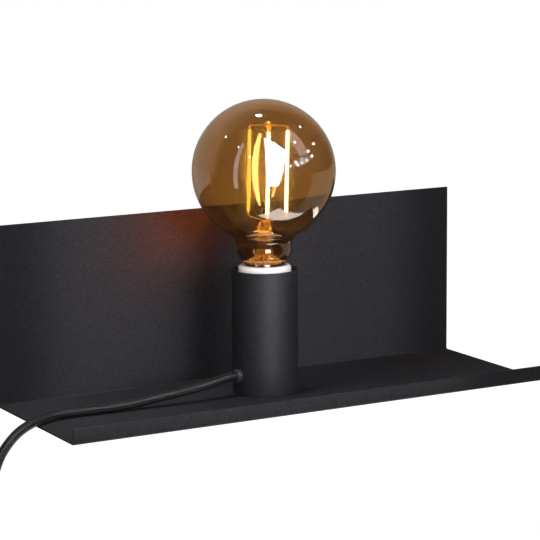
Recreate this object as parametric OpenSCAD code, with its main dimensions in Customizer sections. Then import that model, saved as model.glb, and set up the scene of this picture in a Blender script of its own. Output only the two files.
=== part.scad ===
// Wall lamp with a folded steel shelf. A tube on the shelf carries an E27 lampholder and a globe
// bulb. A cord with an in-line switch and a plug feeds it, its spare length wound in a coil.
// Origin: midway between the two wall screws, on the wall. +Z is up, +Y points into the wall and
// +X to the right, as seen from the room.

/* [Folded sheet] */
// Width of the back plate and shelf
shelf_w = 350; // [300:1:420]
// Depth from the rear face of the back plate to the front of the lip
shelf_d = 120; // [105:1:160]
// Height from the underside of the shelf to the top edge of the back plate
plate_h = 120; // [105:1:170]
// Thickness of the sheet steel
sheet_t = 1.5; // [1:0.1:2.5]
// Height of the up-turned lip, from the underside of the shelf
lip_h = 10.5; // [6:0.5:30]
// Inner radius of the two bends
bend_r = 1; // [0.5:0.1:3]

/* [Wall hanging] */
// Space between the wall and the back plate
wall_gap = 5; // [4.5:0.1:9]
// Height of the back plate's top edge above the wall screws
plate_rise = 40; // [36:1:55]
// Width of the wall bracket
bracket_w = 220; // [200:1:260]
// Height of the bracket's leg on the wall
bracket_leg = 25; // [20:1:30]
// Distance between the two wall screws
screw_spacing = 180; // [100:1:190]
// Diameter of the wall screw holes
screw_hole_d = 5.2; // [4:0.1:6.5]
// Width of the hanger rail on the back plate
rail_w = 230; // [200:1:280]
// Height of the rail's leg that is welded to the back plate
rail_leg = 13; // [8:0.5:14]
// How far the rail hooks down behind the bracket
hook_len = 8; // [5:0.5:10]
// Thickness of the bracket's and rail's strip
strip_t = 1.2; // [1:0.1:1.5]
// Diameter of the rubber pads
pad_d = 14; // [8:1:20]
// Distance of the pads from the side and bottom edges of the back plate
pad_inset = 16; // [12:1:40]

/* [Post] */
// Place of the post, to the right of the middle
post_x = -4.5; // [-40:0.5:40]
// Distance of the post's axis from the front face of the back plate
post_reach = 52; // [40:0.5:70]
// Outer diameter of the socket tube
tube_od = 44; // [42:0.5:56]
// Wall of the socket tube
tube_wall = 1.2; // [0.8:0.1:1.5]
// Height of the socket tube
tube_h = 83; // [76:1:120]
// Thickness of the disc in the foot of the tube
disc_t = 2; // [1:0.1:4]
// Outer diameter of the threaded nipple
nipple_d = 9.9; // [9:0.1:10.5]
// Bore of the threaded nipple
nipple_bore = 7; // [5:0.5:8]
// Width of the nipple nuts across their flats
nut_af = 14; // [13:0.5:14.5]
// Height of the nipple nuts
nut_h = 4; // [3:0.5:5]
// Thickness of the toothed washer
washer_t = 1; // [0.5:0.1:1.5]

/* [Lampholder] */
// Diameter of the porcelain collar
holder_d = 35.5; // [34.5:0.5:38]
// Height of the collar
collar_h = 16; // [8:1:20]
// Height of the collar's top above the rim of the tube
holder_rise = 3; // [0:0.5:10]
// Diameter of the mouth
mouth_d = 29.5; // [29.2:0.1:30.5]
// Thickness of the porcelain floor under the screw shell
floor_t = 7; // [4:0.5:10]
// Depth of the wiring chamber under the floor
chamber_h = 8; // [7:0.5:12]
// Thickness of the steel crossbar under the holder
crossbar_t = 1.5; // [1:0.1:3]
// Thread diameter of the two holder screws
holder_screw_d = 2.9; // [2.5:0.1:3]

/* [Bulb] */
// Diameter of the globe
globe_d = 95; // [80:1:125]
// Diameter of the neck
neck_d = 36.8; // [34:0.2:40]
// Height of the neck, from the cap's rim to where it opens into the globe
neck_rise = 10.5; // [9:0.5:20]
// Radius of the hollow curve from neck to globe
neck_fillet = 10; // [6:0.5:14]
// Wall of the glass
glass_t = 0.8; // [0.5:0.1:1.2]
// Length of the cap, from rim to tip
cap_len = 28; // [26:0.5:30]
// Height of the cap's rim above the holder
cap_rise = 1.5; // [0.5:0.1:4]
// Outer diameter of the cap's thread
cap_d = 26.2; // [26:0.05:26.45]
// Length of the lit part of a filament
filament_len = 54; // [40:1:58]
// Diameter of a filament
filament_d = 1.8; // [1.2:0.1:2.4]
// Radius of the circle on which the filaments stand
cage_r = 12.5; // [10:0.5:15]

/* [Cord] */
// Diameter of the cord
cord_d = 6.2; // [5:0.1:6.8]
// Height of the cord bush above the shelf
gland_z = 13.2; // [12:0.2:20]
// Turn of the cord bush from straight left towards the front
gland_turn = 8; // [0:1:15]
// Outer diameter of the cord bush
gland_d = 9.4; // [9:0.1:12]
// How far the cord bush stands out of the tube
gland_out = 3.5; // [2:0.1:8]

/* [In-line switch] */
// Length of the switch
switch_len = 62; // [58:1:70]
// Width of the switch
switch_w = 27; // [25:1:32]
// Thickness of the switch
switch_t = 20; // [20:1:26]
// Wall of the switch's shells
shell_t = 2; // [1.2:0.1:2.2]
// Tilt of the rocker to each side
rocker_tilt = 8.3; // [5:0.1:10]

/* [Plug] */
// Width of the plug
plug_w = 35.3; // [32:0.1:38]
// Thickness of the plug
plug_t = 13.7; // [12:0.1:16]
// Length of the plug's body, without the sleeve on the cord
plug_len = 36; // [30:1:45]
// Diameter of the pins
pin_d = 4; // [3.8:0.1:4.8]
// Length of the pins
pin_len = 19; // [16:0.5:20]
// Distance between the pins
pin_spacing = 18.6; // [17.5:0.1:19.2]

/* [Hidden] */
$fn = 64;

// Clearances: between bodies that move apart, and between pieces that slip together
running = 0.3;
slip = 0.05;
over = 1; // how far a cutter runs past the face that it cuts

// Folded sheet and wall strips
strip_r = 0.4;
strip_gap = 0.5;
plate_rear_y = -wall_gap;
plate_front_y = plate_rear_y - sheet_t;
lip_front_y = plate_rear_y - shelf_d;
shelf_under_z = plate_rise - plate_h;
shelf_top_z = shelf_under_z + sheet_t;
hook_front_y = -strip_gap - strip_t;
bracket_front_y = hook_front_y - strip_gap - strip_t;
bracket_web_z = bracket_leg / 2 - strip_t;
seat_z = bracket_leg / 2 + 1 + hook_len;

// Post: heights are above the top face of the shelf, radii from the post's axis
post_y = plate_front_y - post_reach;
tube_r = tube_od / 2;
tube_in_r = tube_r - tube_wall;
thread_gap = 0.05;
nut_bore_r = nipple_d / 2 + thread_gap;
nipple_proud = 2;
holder_top = tube_h + holder_rise;
cap_rim = holder_top + cap_rise;
tip_z = cap_rim - cap_len;
contact_h = 4.5;
cavity_floor = tip_z - contact_h;
ledge_z = cavity_floor + 2;
chamber_top = cavity_floor - floor_t;
holder_bottom = chamber_top - chamber_h;
crossbar_z = holder_bottom - crossbar_t;

// Lampholder
holder_foot_r = holder_d / 2 - 1;
chamber_r = holder_foot_r - 1.8;
cavity_r = chamber_r - 3.5;
boss_r = 3.2;
boss_y = chamber_r - boss_r + 0.2;
screw_head_r = 2.75;
screw_head_h = 2.2;
shell_in_r = cap_d / 2 + running + 0.05;
shell_wall = 0.35;
shell_wave = 0.6;
shell_bore_r = shell_in_r + shell_wave + shell_wall + 0.15;
thread_pitch = 3.62;
shell_turns = 5;
terminal_x = 10.5;
terminal_size = [6, 6, 5];
live_stud_x = -9;
neutral_stud_x = 12.3;

// Bulb
cap_root_r = cap_d / 2 - 0.95;
cap_wall = 0.35;
cap_collar_r = 13.8;
cap_turns = 5;
globe_r = globe_d / 2;
neck_r = neck_d / 2;
neck_round = 11;
neck_seal_r = cap_collar_r - cap_wall - slip;
neck_top = cap_rim + neck_rise;
globe_z = neck_top + sqrt(pow(globe_r + neck_fillet, 2) - pow(neck_r + neck_fillet, 2));
round_z = cap_rim + sqrt(pow(neck_round, 2) - pow(neck_seal_r - neck_r + neck_round, 2));
stem_r = 5;
stem_wall = 0.8;
rod_r = 1.2;
bead_r = 2.6;
wire_r = 0.3;
tab_len = 2.5;
tab_w = 0.8;
tab_t = 0.3;
stem_gap = 4;
cage_low = globe_z - filament_len / 2 - tab_len;
cage_high = globe_z + filament_len / 2 + tab_len;
stem_top = cage_low - stem_gap;
cage_turn = -29;
cage_right = 1.7;
cage_front = 0.9;
cage_lean = 1.5;
filament_angles = [0, 90, 180, 270];

// Cord bush, cord and wires
bush_bore_r = cord_d / 2 + 0.1;
bush_sleeve_r = bush_bore_r + 0.6;
bush_hole_r = bush_sleeve_r + 0.1;
bush_in = 6;
bush_dir = [-cos(gland_turn), -sin(gland_turn), 0];
bush_centre = [post_x, post_y, shelf_top_z + gland_z];
bush_tip = bush_centre + (tube_r + gland_out) * bush_dir;
wire_insulation_r = 1.1;
cord_sides = 8;
coil_sides = 6;

// In-line switch and plug: they hang on the cord, so they keep their places with it
switch_c = [-215, -86, -183.5];
cord_grip = 6;
switch_r = 8;
rocker_w = 12;
rocker_r = 10.4;
pivot_y = -switch_t / 2 + 4.5;
pivot_r = 1.25;
window_gap = 0.4;
plug_top = [-232, -101, -262];
boot_len = 18;
pin_sleeve_len = 10;
pin_core_d = 2.6;
pin_sleeve_d = 3.6;
contact_z = 17;
contact_block = [6, 5, 6];
contact_tongue = [3, 0.4, 16];

// Coil: turns in two layers, wound inwards in the rear layer and outwards in the front one
coil_c = [-190, -86, -271];
coil_inner = 27.5;
coil_step = 7.2;
coil_layer_turns = 2.625;
coil_dip = 0.8;
rings_per_turn = 24;
coil_start = 180;
coil_outer = coil_inner + coil_step * coil_layer_turns;

// Angle turned in one layer, at the end of the half turn between layers, and in the whole coil
coil_layer = 360 * coil_layer_turns;
coil_climb = coil_layer + 180;
coil_end = coil_climb + coil_layer;
// Radius of the coil's centreline after it has turned by a
function coil_radius(a) =
  a < coil_layer ? coil_outer - coil_step * a / 360
  : a < coil_climb ? coil_inner - coil_dip * sin(a - coil_layer)
  : coil_inner + coil_step * (a - coil_climb) / 360;
// Depth of the coil's centreline after it has turned by a
function coil_depth(a) =
  a < coil_layer ? coil_step / 2
  : a < coil_climb ? coil_step / 2 * cos(a - coil_layer)
  : -coil_step / 2;
function coil_point(a) = coil_c + [
  coil_radius(a) * cos(coil_start + a), coil_depth(a), coil_radius(a) * sin(coil_start + a)
];

// Ends of the coil's solid, each a short straight run beyond its turns
coil_first = coil_point(0) + [0, 0, cord_d];
coil_last = coil_point(coil_end) - [cord_d, 0, 0];

// Route of the cord from the bush over the shelf's left edge and down to the switch
run_route = concat(
  [bush_tip, bush_tip + cord_d * bush_dir],
  [
    [-43, -63.8, -66.5], [-50, -64.2, -67.8], [-61, -64.3, -69.4], [-72, -64.1, -70.7],
    [-86, -63.5, -72.4], [-100, -62.8, -74.1], [-113, -62.4, -75.1], [-126, -62.2, -75.3],
    [-138, -61.8, -75.3], [-148, -61.5, -75.3], [-156, -62, -75.3], [-162, -63.3, -75.3],
    [-168.5, -66.2, -75.3], [-175, -70.2, -75.3], [-181, -74.2, -75.8], [-187, -77.4, -77],
    [-193, -79.8, -79.4], [-199.5, -81.9, -84], [-205.5, -83.4, -90.5], [-210, -84.5, -99],
    [-213, -85.3, -109], [-214.5, -85.8, -120], [-215, -86, -132], [-215, -86, -143]
  ],
  [switch_c + [0, 0, switch_len / 2 - cord_grip]]
);
// From the switch down into the coil
link_route = concat(
  [switch_c - [0, 0, switch_len / 2 - cord_grip]],
  [
    [-215, -86, -216], [-216.2, -85.8, -223.5], [-219.7, -85, -231], [-225.4, -84, -238],
    [-230.9, -83.1, -245], [-234.8, -82.6, -252.5]
  ],
  [coil_first + [0, 0, 5], coil_first]
);
// From the coil to the plug, which hangs in front of it
tail_route = concat(
  [coil_last, coil_last - [3, 0, 0]],
  [
    [-207.7, -90.4, -225.7], [-215.6, -92.4, -229], [-222.4, -95.3, -234.2],
    [-227.6, -98.2, -241], [-230.9, -100.2, -248.9]
  ],
  [plug_top + [0, 0, 4.6], plug_top]
);

coil_rings = ceil(coil_end / 360 * rings_per_turn);
coil_route = concat(
  [coil_first],
  [for (i = [0:coil_rings]) coil_point(coil_end * i / coil_rings)],
  [coil_last]
);
// Smallest distance between points at least half a turn apart, less the cord's diameter
coil_gap = min([
  for (i = [0:coil_rings + 2], j = [0:coil_rings + 2]) if (j > i + rings_per_turn / 2)
    norm(coil_route[i] - coil_route[j])
]) - cord_d;
function route_length(p, i = 1) = i == len(p) ? 0 : norm(p[i] - p[i - 1]) + route_length(p, i + 1);
coil_length = route_length(coil_route);

// ---------------------------------------------------------------------------
// Helpers

module at_post(z) translate([post_x, post_y, shelf_top_z + z]) children();
module along_x(w) rotate([90, 0, 90]) linear_extrude(w, center = true) children();
// Lays a shape in X and Z, and gives it a thickness from y0 to y1
module upright(y0, y1) translate([0, y1, 0]) rotate([90, 0, 0]) linear_extrude(y1 - y0) children();

// Quarter ring about the origin, on the side of each axis that sx and sy give
module quarter(sx, sy, inner, wall)
  intersection() {
    difference() {
      circle(inner + wall);
      circle(inner);
    }
    translate([min(0, sx * (inner + wall)), min(0, sy * (inner + wall))]) square(inner + wall);
  }

module rounded_rect(w, h, r) {
  square([w - 2 * r, h], center = true);
  square([w, h - 2 * r], center = true);
  for (x = [-1, 1], y = [-1, 1]) translate([x * (w / 2 - r), y * (h / 2 - r)]) circle(r);
}

// Direction of a route at its point i
function heading(p, i) = let (
  a = p[max(i - 1, 0)], b = p[min(i + 1, len(p) - 1)]
) (b - a) / norm(b - a);
// A unit vector square to the route at point i, as near to v as can be
function carried(p, i, v) = let (h = heading(p, i), w = v - (v * h) * h) w / norm(w);
function carried_all(p, v, i = 0) =
  i == len(p) ? [] : let (w = carried(p, i, v)) concat([w], carried_all(p, w, i + 1));

// Closed tube of radius r along the points p, with its ends square to the route
module tube_along(p, r, sides, up = [0, 1, 0]) {
  last = (len(p) - 1) * sides;
  u = carried_all(p, up);
  rings = [
    for (i = [0:len(p) - 1]) let (w = cross(heading(p, i), u[i])) for (k = [0:sides - 1])
      p[i] + r * (cos(360 * k / sides) * u[i] + sin(360 * k / sides) * w)
  ];
  walls = [
    for (i = [0:len(p) - 2], k = [0:sides - 1])
      let (a = i * sides + k, b = i * sides + (k + 1) % sides)
        each [[a, a + sides, b + sides], [a, b + sides, b]]
  ];
  ends = [for (k = [1:sides - 2]) each [[0, k, k + 1], [last, last + k + 1, last + k]]];
  polyhedron(rings, concat(walls, ends));
}

// Outline of a rolled thread: radii run from root to crest, turns upwards from z
function thread_outline(root, crest, z, turns) = [
  for (i = [0:turns - 1]) each [
    [root, z + thread_pitch * i], [crest, z + thread_pitch * (i + 0.3)],
    [crest, z + thread_pitch * (i + 0.45)], [root, z + thread_pitch * (i + 0.75)]
  ]
];

module nut(height = nut_h, af = nut_af)
  rotate([0, 0, 30]) difference() {
    cylinder(h = height, d = af / cos(30), $fn = 6);
    translate([0, 0, -over]) cylinder(h = height + 2 * over, r = nut_bore_r);
  }

// ---------------------------------------------------------------------------
// Wall side

// Z-shaped strip: a lower leg near the wall, a level web and an upper leg towards the room
module z_section(front, rear, low, web, high) {
  outer = strip_r + strip_t;
  translate([rear - strip_t, low]) square([strip_t, web + strip_t - outer - low]);
  translate([rear - outer, web + strip_t - outer]) quarter(1, 1, strip_r, strip_t);
  translate([front + outer, web]) square([rear - front - 2 * outer, strip_t]);
  translate([front + outer, web + outer]) quarter(-1, -1, strip_r, strip_t);
  translate([front, web + outer]) square([strip_t, high - web - outer]);
}

module wall_bracket()
  color("#8f9296") difference() {
    along_x(bracket_w) z_section(bracket_front_y, 0, -bracket_leg / 2, bracket_web_z, seat_z);
    for (side = [-1, 1]) translate([side * screw_spacing / 2, over, 0])
      rotate([90, 0, 0]) cylinder(h = strip_t + 2 * over, d = screw_hole_d);
  }

module hanger_rail()
  color("#8f9296")
    along_x(rail_w) z_section(plate_rear_y, -strip_gap, seat_z - hook_len, seat_z, seat_z + rail_leg);

module wall_pads()
  color("#1c1c1c") for (side = [-1, 1])
    translate([side * (shelf_w / 2 - pad_inset), plate_rear_y, shelf_under_z + pad_inset])
      rotate([-90, 0, 0]) rotate_extrude() polygon([
        [0, 0], [pad_d / 2, 0], [pad_d / 2, wall_gap - 1], [pad_d / 2 - 1, wall_gap], [0, wall_gap]
      ]);

// ---------------------------------------------------------------------------
// Folded sheet

module sheet_section() {
  outer = bend_r + sheet_t;
  floor_z = shelf_under_z + outer;
  translate([plate_front_y, floor_z]) square([sheet_t, plate_rise - floor_z]);
  translate([plate_rear_y - outer, floor_z]) quarter(1, -1, bend_r, sheet_t);
  translate([lip_front_y + outer, shelf_under_z]) square([shelf_d - 2 * outer, sheet_t]);
  translate([lip_front_y + outer, floor_z]) quarter(-1, -1, bend_r, sheet_t);
  translate([lip_front_y, floor_z]) square([sheet_t, lip_h - outer]);
}

module shelf_plate()
  color("#2b2a2d") difference() {
    along_x(shelf_w) sheet_section();
    at_post(-sheet_t - over) cylinder(h = sheet_t + 2 * over, d = nipple_d + 0.5);
  }

// ---------------------------------------------------------------------------
// Post

module at_bush() translate(bush_centre) rotate([0, 0, gland_turn]) rotate([0, -90, 0]) children();

module socket_tube()
  color("#252527") difference() {
    at_post(0) cylinder(h = tube_h, r = tube_r);
    at_post(-over) cylinder(h = tube_h + 2 * over, r = tube_in_r);
    at_bush() translate([0, 0, tube_in_r - 3]) cylinder(h = tube_wall + 6, r = bush_hole_r);
  }

module base_disc()
  color("#8f9296") at_post(0) difference() {
    cylinder(h = disc_t, r = tube_in_r - slip);
    translate([0, 0, -over]) cylinder(h = disc_t + 2 * over, d = nipple_d + 0.5);
  }

module toothed_washer()
  color("#9a9da1") at_post(-sheet_t - washer_t) difference() {
    cylinder(h = washer_t, r = nut_af / 2 + 2);
    translate([0, 0, -over]) cylinder(h = washer_t + 2 * over, d = nipple_d + 0.3);
    for (a = [0:20:340]) rotate([0, 0, a]) translate([nut_af / 2 + 1.6, -0.5, -over])
      cube([2, 1, washer_t + 2 * over]);
  }

module threaded_nipple()
  color("#9a9da1") {
    low = -sheet_t - washer_t - nut_h - nipple_proud;
    high = holder_bottom + nut_h + nipple_proud;
    at_post(low) difference() {
      cylinder(h = high - low, d = nipple_d);
      translate([0, 0, -over]) cylinder(h = high - low + 2 * over, d = nipple_bore);
    }
  }

module nipple_nuts()
  color("#9a9da1")
    for (z = [-sheet_t - washer_t - nut_h, disc_t, crossbar_z - nut_h, holder_bottom])
      at_post(z) nut();

// ---------------------------------------------------------------------------
// Lampholder

module holder_crossbar()
  color("#8f9296") at_post(crossbar_z) difference() {
    intersection() {
      translate([-6, -holder_foot_r, 0]) cube([12, 2 * holder_foot_r, crossbar_t]);
      cylinder(h = crossbar_t, r = holder_foot_r);
    }
    translate([0, 0, -over]) cylinder(h = crossbar_t + 2 * over, d = nipple_d + 0.3);
    for (side = [-1, 1]) translate([0, side * boss_y, -over])
      cylinder(h = crossbar_t + 2 * over, d = holder_screw_d + 0.4);
  }

module holder_screws()
  color("#c9cbce") for (side = [-1, 1]) at_post(crossbar_z) translate([0, side * boss_y, 0]) {
    cylinder(h = crossbar_t + chamber_h, d = holder_screw_d);
    translate([0, 0, -screw_head_h]) difference() {
      cylinder(h = screw_head_h, r = screw_head_r);
      translate([-screw_head_r - over, -0.4, -over])
        cube([2 * (screw_head_r + over), 0.8, over + 1]);
    }
  }

// Half section of the porcelain, solid, in radius and height
module porcelain_section() {
  collar_r = holder_d / 2;
  shoulder = (holder_d - mouth_d) / 2;
  translate([0, holder_bottom]) square([holder_foot_r, holder_top - holder_bottom - shoulder]);
  translate([0, holder_top - collar_h]) square([collar_r, collar_h - shoulder]);
  square_w = collar_r - shoulder;
  translate([0, holder_top - shoulder]) square([square_w, shoulder]);
  intersection() {
    translate([square_w, holder_top - shoulder]) circle(shoulder);
    translate([square_w, holder_top - shoulder]) square(shoulder);
  }
}

module holder_body()
  color("#f1ece4") at_post(0) difference() {
    rotate_extrude() difference() {
      porcelain_section();
      translate([0, cavity_floor]) square([cavity_r, holder_top]);
      translate([0, ledge_z]) square([shell_bore_r, holder_top]);
      translate([0, holder_top - 6]) square([mouth_d / 2, holder_top]);
    }
    difference() {
      translate([0, 0, holder_bottom - over]) cylinder(h = chamber_h + over, r = chamber_r);
      for (side = [-1, 1]) translate([0, side * boss_y, holder_bottom])
        cylinder(h = chamber_h, r = boss_r);
    }
    for (side = [-1, 1]) translate([0, side * boss_y, holder_bottom - over])
      cylinder(h = chamber_h + over + 1, d = holder_screw_d + 2 * slip);
    translate([live_stud_x, 0, chamber_top - over]) cylinder(h = floor_t + 2 * over, r = 0.9);
    translate([neutral_stud_x, 0, chamber_top - over])
      cylinder(h = ledge_z - chamber_top + 2 * over, r = 0.9);
  }

module screw_shell()
  color("#c8a45a") at_post(0) difference() {
    foot = [
      [shell_in_r + shell_wall, ledge_z], [cavity_r + 0.1, ledge_z],
      [cavity_r + 0.1, ledge_z + shell_wall], [shell_in_r, ledge_z + shell_wall]
    ];
    inner = concat(
      thread_outline(shell_in_r, shell_in_r + shell_wave, ledge_z + 2, shell_turns),
      [[shell_in_r, holder_top - 6]]
    );
    outer = [for (i = [len(inner) - 1:-1:0]) inner[i] + [shell_wall, 0]];
    rotate_extrude() polygon(concat(foot, inner, outer));
    translate([neutral_stud_x, 0, ledge_z - over]) cylinder(h = 2 * over, r = 0.9);
  }

// Sprung tongue: a foot on the porcelain floor, a rise and a tongue under the bulb's tip
module centre_contact()
  color("#b98b4a") at_post(cavity_floor) difference() {
    rise = contact_h - running;
    upright(-2.5, 2.5) polygon([
      [live_stud_x - 2, 0], [live_stud_x + 5, 0], [live_stud_x + 7, rise - 0.5], [3.5, rise - 0.5],
      [3.5, rise], [live_stud_x + 6.6, rise], [live_stud_x + 4.6, 0.5], [live_stud_x - 2, 0.5]
    ]);
    translate([live_stud_x, 0, -over]) cylinder(h = 2 * over, r = 0.9);
  }

module terminal(stud_x, stud_len) {
  side = sign(stud_x);
  difference() {
    translate([side * terminal_x - terminal_size.x / 2, -terminal_size.y / 2, -terminal_size.z])
      cube(terminal_size);
    translate([side * terminal_x, 0, -terminal_size.z - over]) cylinder(h = 3 + over, r = 0.9);
    translate([side * terminal_x, over - terminal_size.y / 2 + 4, -2.2])
      rotate([90, 0, 0]) cylinder(h = 6, r = 1.05);
  }
  translate([stud_x, 0, 0]) cylinder(h = stud_len, r = 0.8);
  translate([stud_x, 0, stud_len]) cylinder(h = 0.6, r = 1.1);
}

module terminal_blocks()
  color("#c8a45a") at_post(chamber_top) {
    terminal(live_stud_x, floor_t + 0.5);
    terminal(neutral_stud_x, ledge_z - chamber_top + shell_wall);
  }

module terminal_screws()
  color("#c9cbce") at_post(chamber_top - 2.2) for (side = [-1, 1])
    translate([side * terminal_x, -terminal_size.y / 2 + 4, 0]) rotate([90, 0, 0]) {
      cylinder(h = 4, r = 1);
      translate([0, 0, 4]) difference() {
        cylinder(h = 1.4, r = 1.8);
        translate([-2, -0.25, 0.8]) cube([4, 0.5, 1]);
      }
    }

// ---------------------------------------------------------------------------
// Bulb

// Half section of the bulb's glass, solid, drawn in from its outer face by inset
module glass_section(inset) {
  r = globe_r - inset;
  neck = neck_r - inset;
  fillet = neck_fillet + inset;
  touch = (neck_r + neck_fillet) / (globe_r + neck_fillet);
  touch_r = r * touch;
  touch_z = globe_z - r * sqrt(1 - touch * touch);
  difference() {
    union() {
      intersection() {
        translate([0, globe_z]) circle(r, $fn = 128);
        translate([0, neck_top]) square([globe_r, globe_z + globe_r + over - neck_top]);
      }
      difference() {
        polygon([
          [0, neck_top], [neck_r + neck_fillet * 0.999, neck_top], [touch_r, touch_z], [0, touch_z]
        ]);
        translate([neck_r + neck_fillet, neck_top]) circle(fillet);
      }
      translate([0, round_z]) square([neck, max(0.01, neck_top - round_z + 0.01)]);
      intersection() {
        translate([neck_r - neck_round, round_z]) circle(neck_round - inset);
        translate([0, cap_rim]) square([neck_r, round_z - cap_rim]);
      }
      translate([0, cap_rim]) square([neck_r - neck_round + 0.5, round_z - cap_rim]);
      translate([0, cap_rim - 2.5]) square([neck_seal_r - inset, 3]);
    }
    translate([-2 * globe_r, 0]) square([2 * globe_r, 10 * globe_r]);
  }
}

module bulb_glass()
  color("#a06a2c", 0.45) at_post(0) difference() {
    rotate_extrude($fn = 128) glass_section(0);
    rotate_extrude($fn = 128) glass_section(glass_t);
    translate([0, 0, cap_rim - 3]) cylinder(h = 2, r = neck_seal_r - glass_t);
  }

// The stem's top, from which the wires and filaments stand up, a little off the bulb's axis
module at_cage() at_post(0)
  translate([cage_right, -cage_front, stem_top])
    rotate([0, 0, cage_turn]) rotate([0, cage_lean, 0]) translate([0, 0, -stem_top]) children();

module bulb_stem()
  color("#e9dcc4", 0.5) {
    flare_r = neck_seal_r - glass_t - slip;
    at_post(0) rotate_extrude() difference() {
      union() {
        polygon([
          [0, cap_rim - 1.5], [flare_r, cap_rim - 1.5], [flare_r, cap_rim - 0.5],
          [stem_r + 1.2, cap_rim + 4], [stem_r, cap_rim + 8], [stem_r, stem_top - stem_r],
          [0, stem_top - stem_r]
        ]);
        intersection() {
          translate([0, stem_top - stem_r]) circle(stem_r);
          translate([0, stem_top - stem_r]) square(stem_r);
        }
      }
      polygon([
        [-1, cap_rim - 2], [flare_r - 1, cap_rim - 2], [stem_r - stem_wall, cap_rim + 4.5],
        [stem_r - stem_wall, stem_top - stem_r], [-1, stem_top - stem_r]
      ]);
    }
    at_cage() {
      translate([0, 0, stem_top - 1]) cylinder(h = cage_high - stem_top + 1, r = rod_r);
      translate([0, 0, cage_high + 1]) sphere(bead_r);
    }
  }

module filament(n)
  color("#ffd27a") at_cage() rotate([0, 0, filament_angles[n - 1]]) translate([cage_r, 0, 0]) {
    translate([0, 0, globe_z - filament_len / 2]) cylinder(h = filament_len, d = filament_d);
    for (z = [cage_low, globe_z + filament_len / 2])
      translate([-tab_w / 2, -tab_t / 2, z]) cube([tab_w, tab_t, tab_len]);
  }

module bulb_filament_1() filament(1);
module bulb_filament_2() filament(2);
module bulb_filament_3() filament(3);
module bulb_filament_4() filament(4);

module rod_between(a, b, r) {
  d = b - a;
  translate(a) rotate([0, acos(d.z / norm(d)), atan2(d.y, d.x)]) cylinder(h = norm(d), r = r, $fn = 16);
}

module upper_wires()
  color("#c9b27a") at_cage() for (a = filament_angles) rotate([0, 0, a])
    rod_between([bead_r + slip, 0, cage_high + 1], [cage_r + wire_r, 0, cage_high + wire_r], wire_r);

module lower_wires()
  color("#c9b27a") at_cage() for (a = filament_angles) rotate([0, 0, a])
    rod_between([rod_r + 0.15, 0, stem_top + 0.3], [cage_r + wire_r, 0, cage_low - wire_r], wire_r);

module lead_wires()
  color("#b9bcc0") at_post(0) for (side = [-1, 1]) translate([side * 2, 0, cap_rim - 10])
    cylinder(h = stem_top - stem_r - cap_rim + 10, r = wire_r, $fn = 16);

module bulb_cap()
  color("#d5d2ca") at_post(0) {
    thread_z = cap_rim - 3.5 - thread_pitch * cap_turns;
    outer = concat(
      [[cap_root_r - 2.5, thread_z - 2.3], [cap_root_r, thread_z - 0.6]],
      thread_outline(cap_root_r, cap_d / 2, thread_z, cap_turns),
      [[cap_root_r, cap_rim - 3.6], [cap_collar_r, cap_rim - 2.6], [cap_collar_r, cap_rim]]
    );
    inner = [for (i = [len(outer) - 1:-1:0]) outer[i] - [cap_wall, 0]];
    rotate_extrude() polygon(concat(outer, inner));
  }

module cap_insulator()
  color("#1a1a1c") at_post(0) {
    top = cap_rim - 3.5 - thread_pitch * cap_turns - 2.3;
    plug_r = cap_root_r - 2.5 - cap_wall - slip;
    rotate_extrude() polygon([
      [1, tip_z + 2.2], [5.6, tip_z + 2.2], [cap_root_r - 2.5, top - slip],
      [plug_r, top - slip], [plug_r, top + 1.2], [1, top + 1.2]
    ]);
  }

module cap_contact()
  color("#b9bcc0") at_post(tip_z) rotate_extrude() {
    polygon([[0, 0.9], [4.6, 0.9], [4.6, 2.15], [0, 2.15]]);
    polygon([[0, 0], [1.6, 0.2], [2.6, 0.9], [0, 0.9]]);
  }

// Round board on the cap's inner wall, with a smoothing capacitor and a chip
module bulb_driver()
  color("#2f6b46") at_post(cap_rim - 13) {
    cylinder(h = 1.2, r = cap_root_r - cap_wall - slip);
    translate([0, 3, -7]) cylinder(h = 7, r = 3);
    translate([-3, -6, -1.6]) cube([6, 3, 1.6]);
    translate([0, 0, 1.2]) cylinder(h = 1.75, r = 2.6);
  }

// ---------------------------------------------------------------------------
// Cord entry and wiring

module cord_bush()
  color("#151516") at_bush() rotate_extrude() difference() {
    union() {
      rim = tube_r + slip;
      dome = gland_d / 2 - bush_bore_r - 0.2;
      translate([0, rim]) square([gland_d / 2, gland_out - slip - dome]);
      translate([0, rim]) square([gland_d / 2 - dome, gland_out - slip]);
      intersection() {
        translate([gland_d / 2 - dome, tube_r + gland_out - dome]) circle(dome);
        translate([gland_d / 2 - dome, tube_r + gland_out - dome]) square(dome);
      }
      translate([0, tube_in_r - bush_in]) square([bush_sleeve_r, bush_in + tube_wall + 1]);
    }
    square([bush_bore_r, tube_r + gland_out + over]);
  }

module bush_lock_ring()
  color("#151516") at_bush() translate([0, 0, tube_in_r - 4.3]) difference() {
    cylinder(h = 3, r = bush_sleeve_r + 2.2);
    translate([0, 0, -over]) cylinder(h = 3 + 2 * over, r = bush_sleeve_r + slip);
  }

module sheath_tail()
  color("#1d1d1f") at_bush() translate([0, 0, tube_in_r - bush_in - 1.5])
    cylinder(h = tube_wall + gland_out + bush_in + 1.5, d = cord_d);

// Start of a wire at the cut end of the sheath, to one side of the cord's axis
function wire_start(side) = (tube_in_r - bush_in - 1.5) * bush_dir + [0, 0, gland_z]
  + side * 1.4 * [-sin(gland_turn), cos(gland_turn), 0];
terminal_foot = chamber_top - terminal_size.z;

module live_wire()
  color("#7a4a2b") at_post(0) tube_along([
    wire_start(1), wire_start(1) - 1.2 * bush_dir, [-11.2, 0.9, gland_z + 4],
    [-10.8, 0.3, gland_z + 10], [-terminal_x, 0, gland_z + 18], [-terminal_x, 0, terminal_foot - 4],
    [-terminal_x, 0, terminal_foot]
  ], wire_insulation_r, cord_sides);

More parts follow.
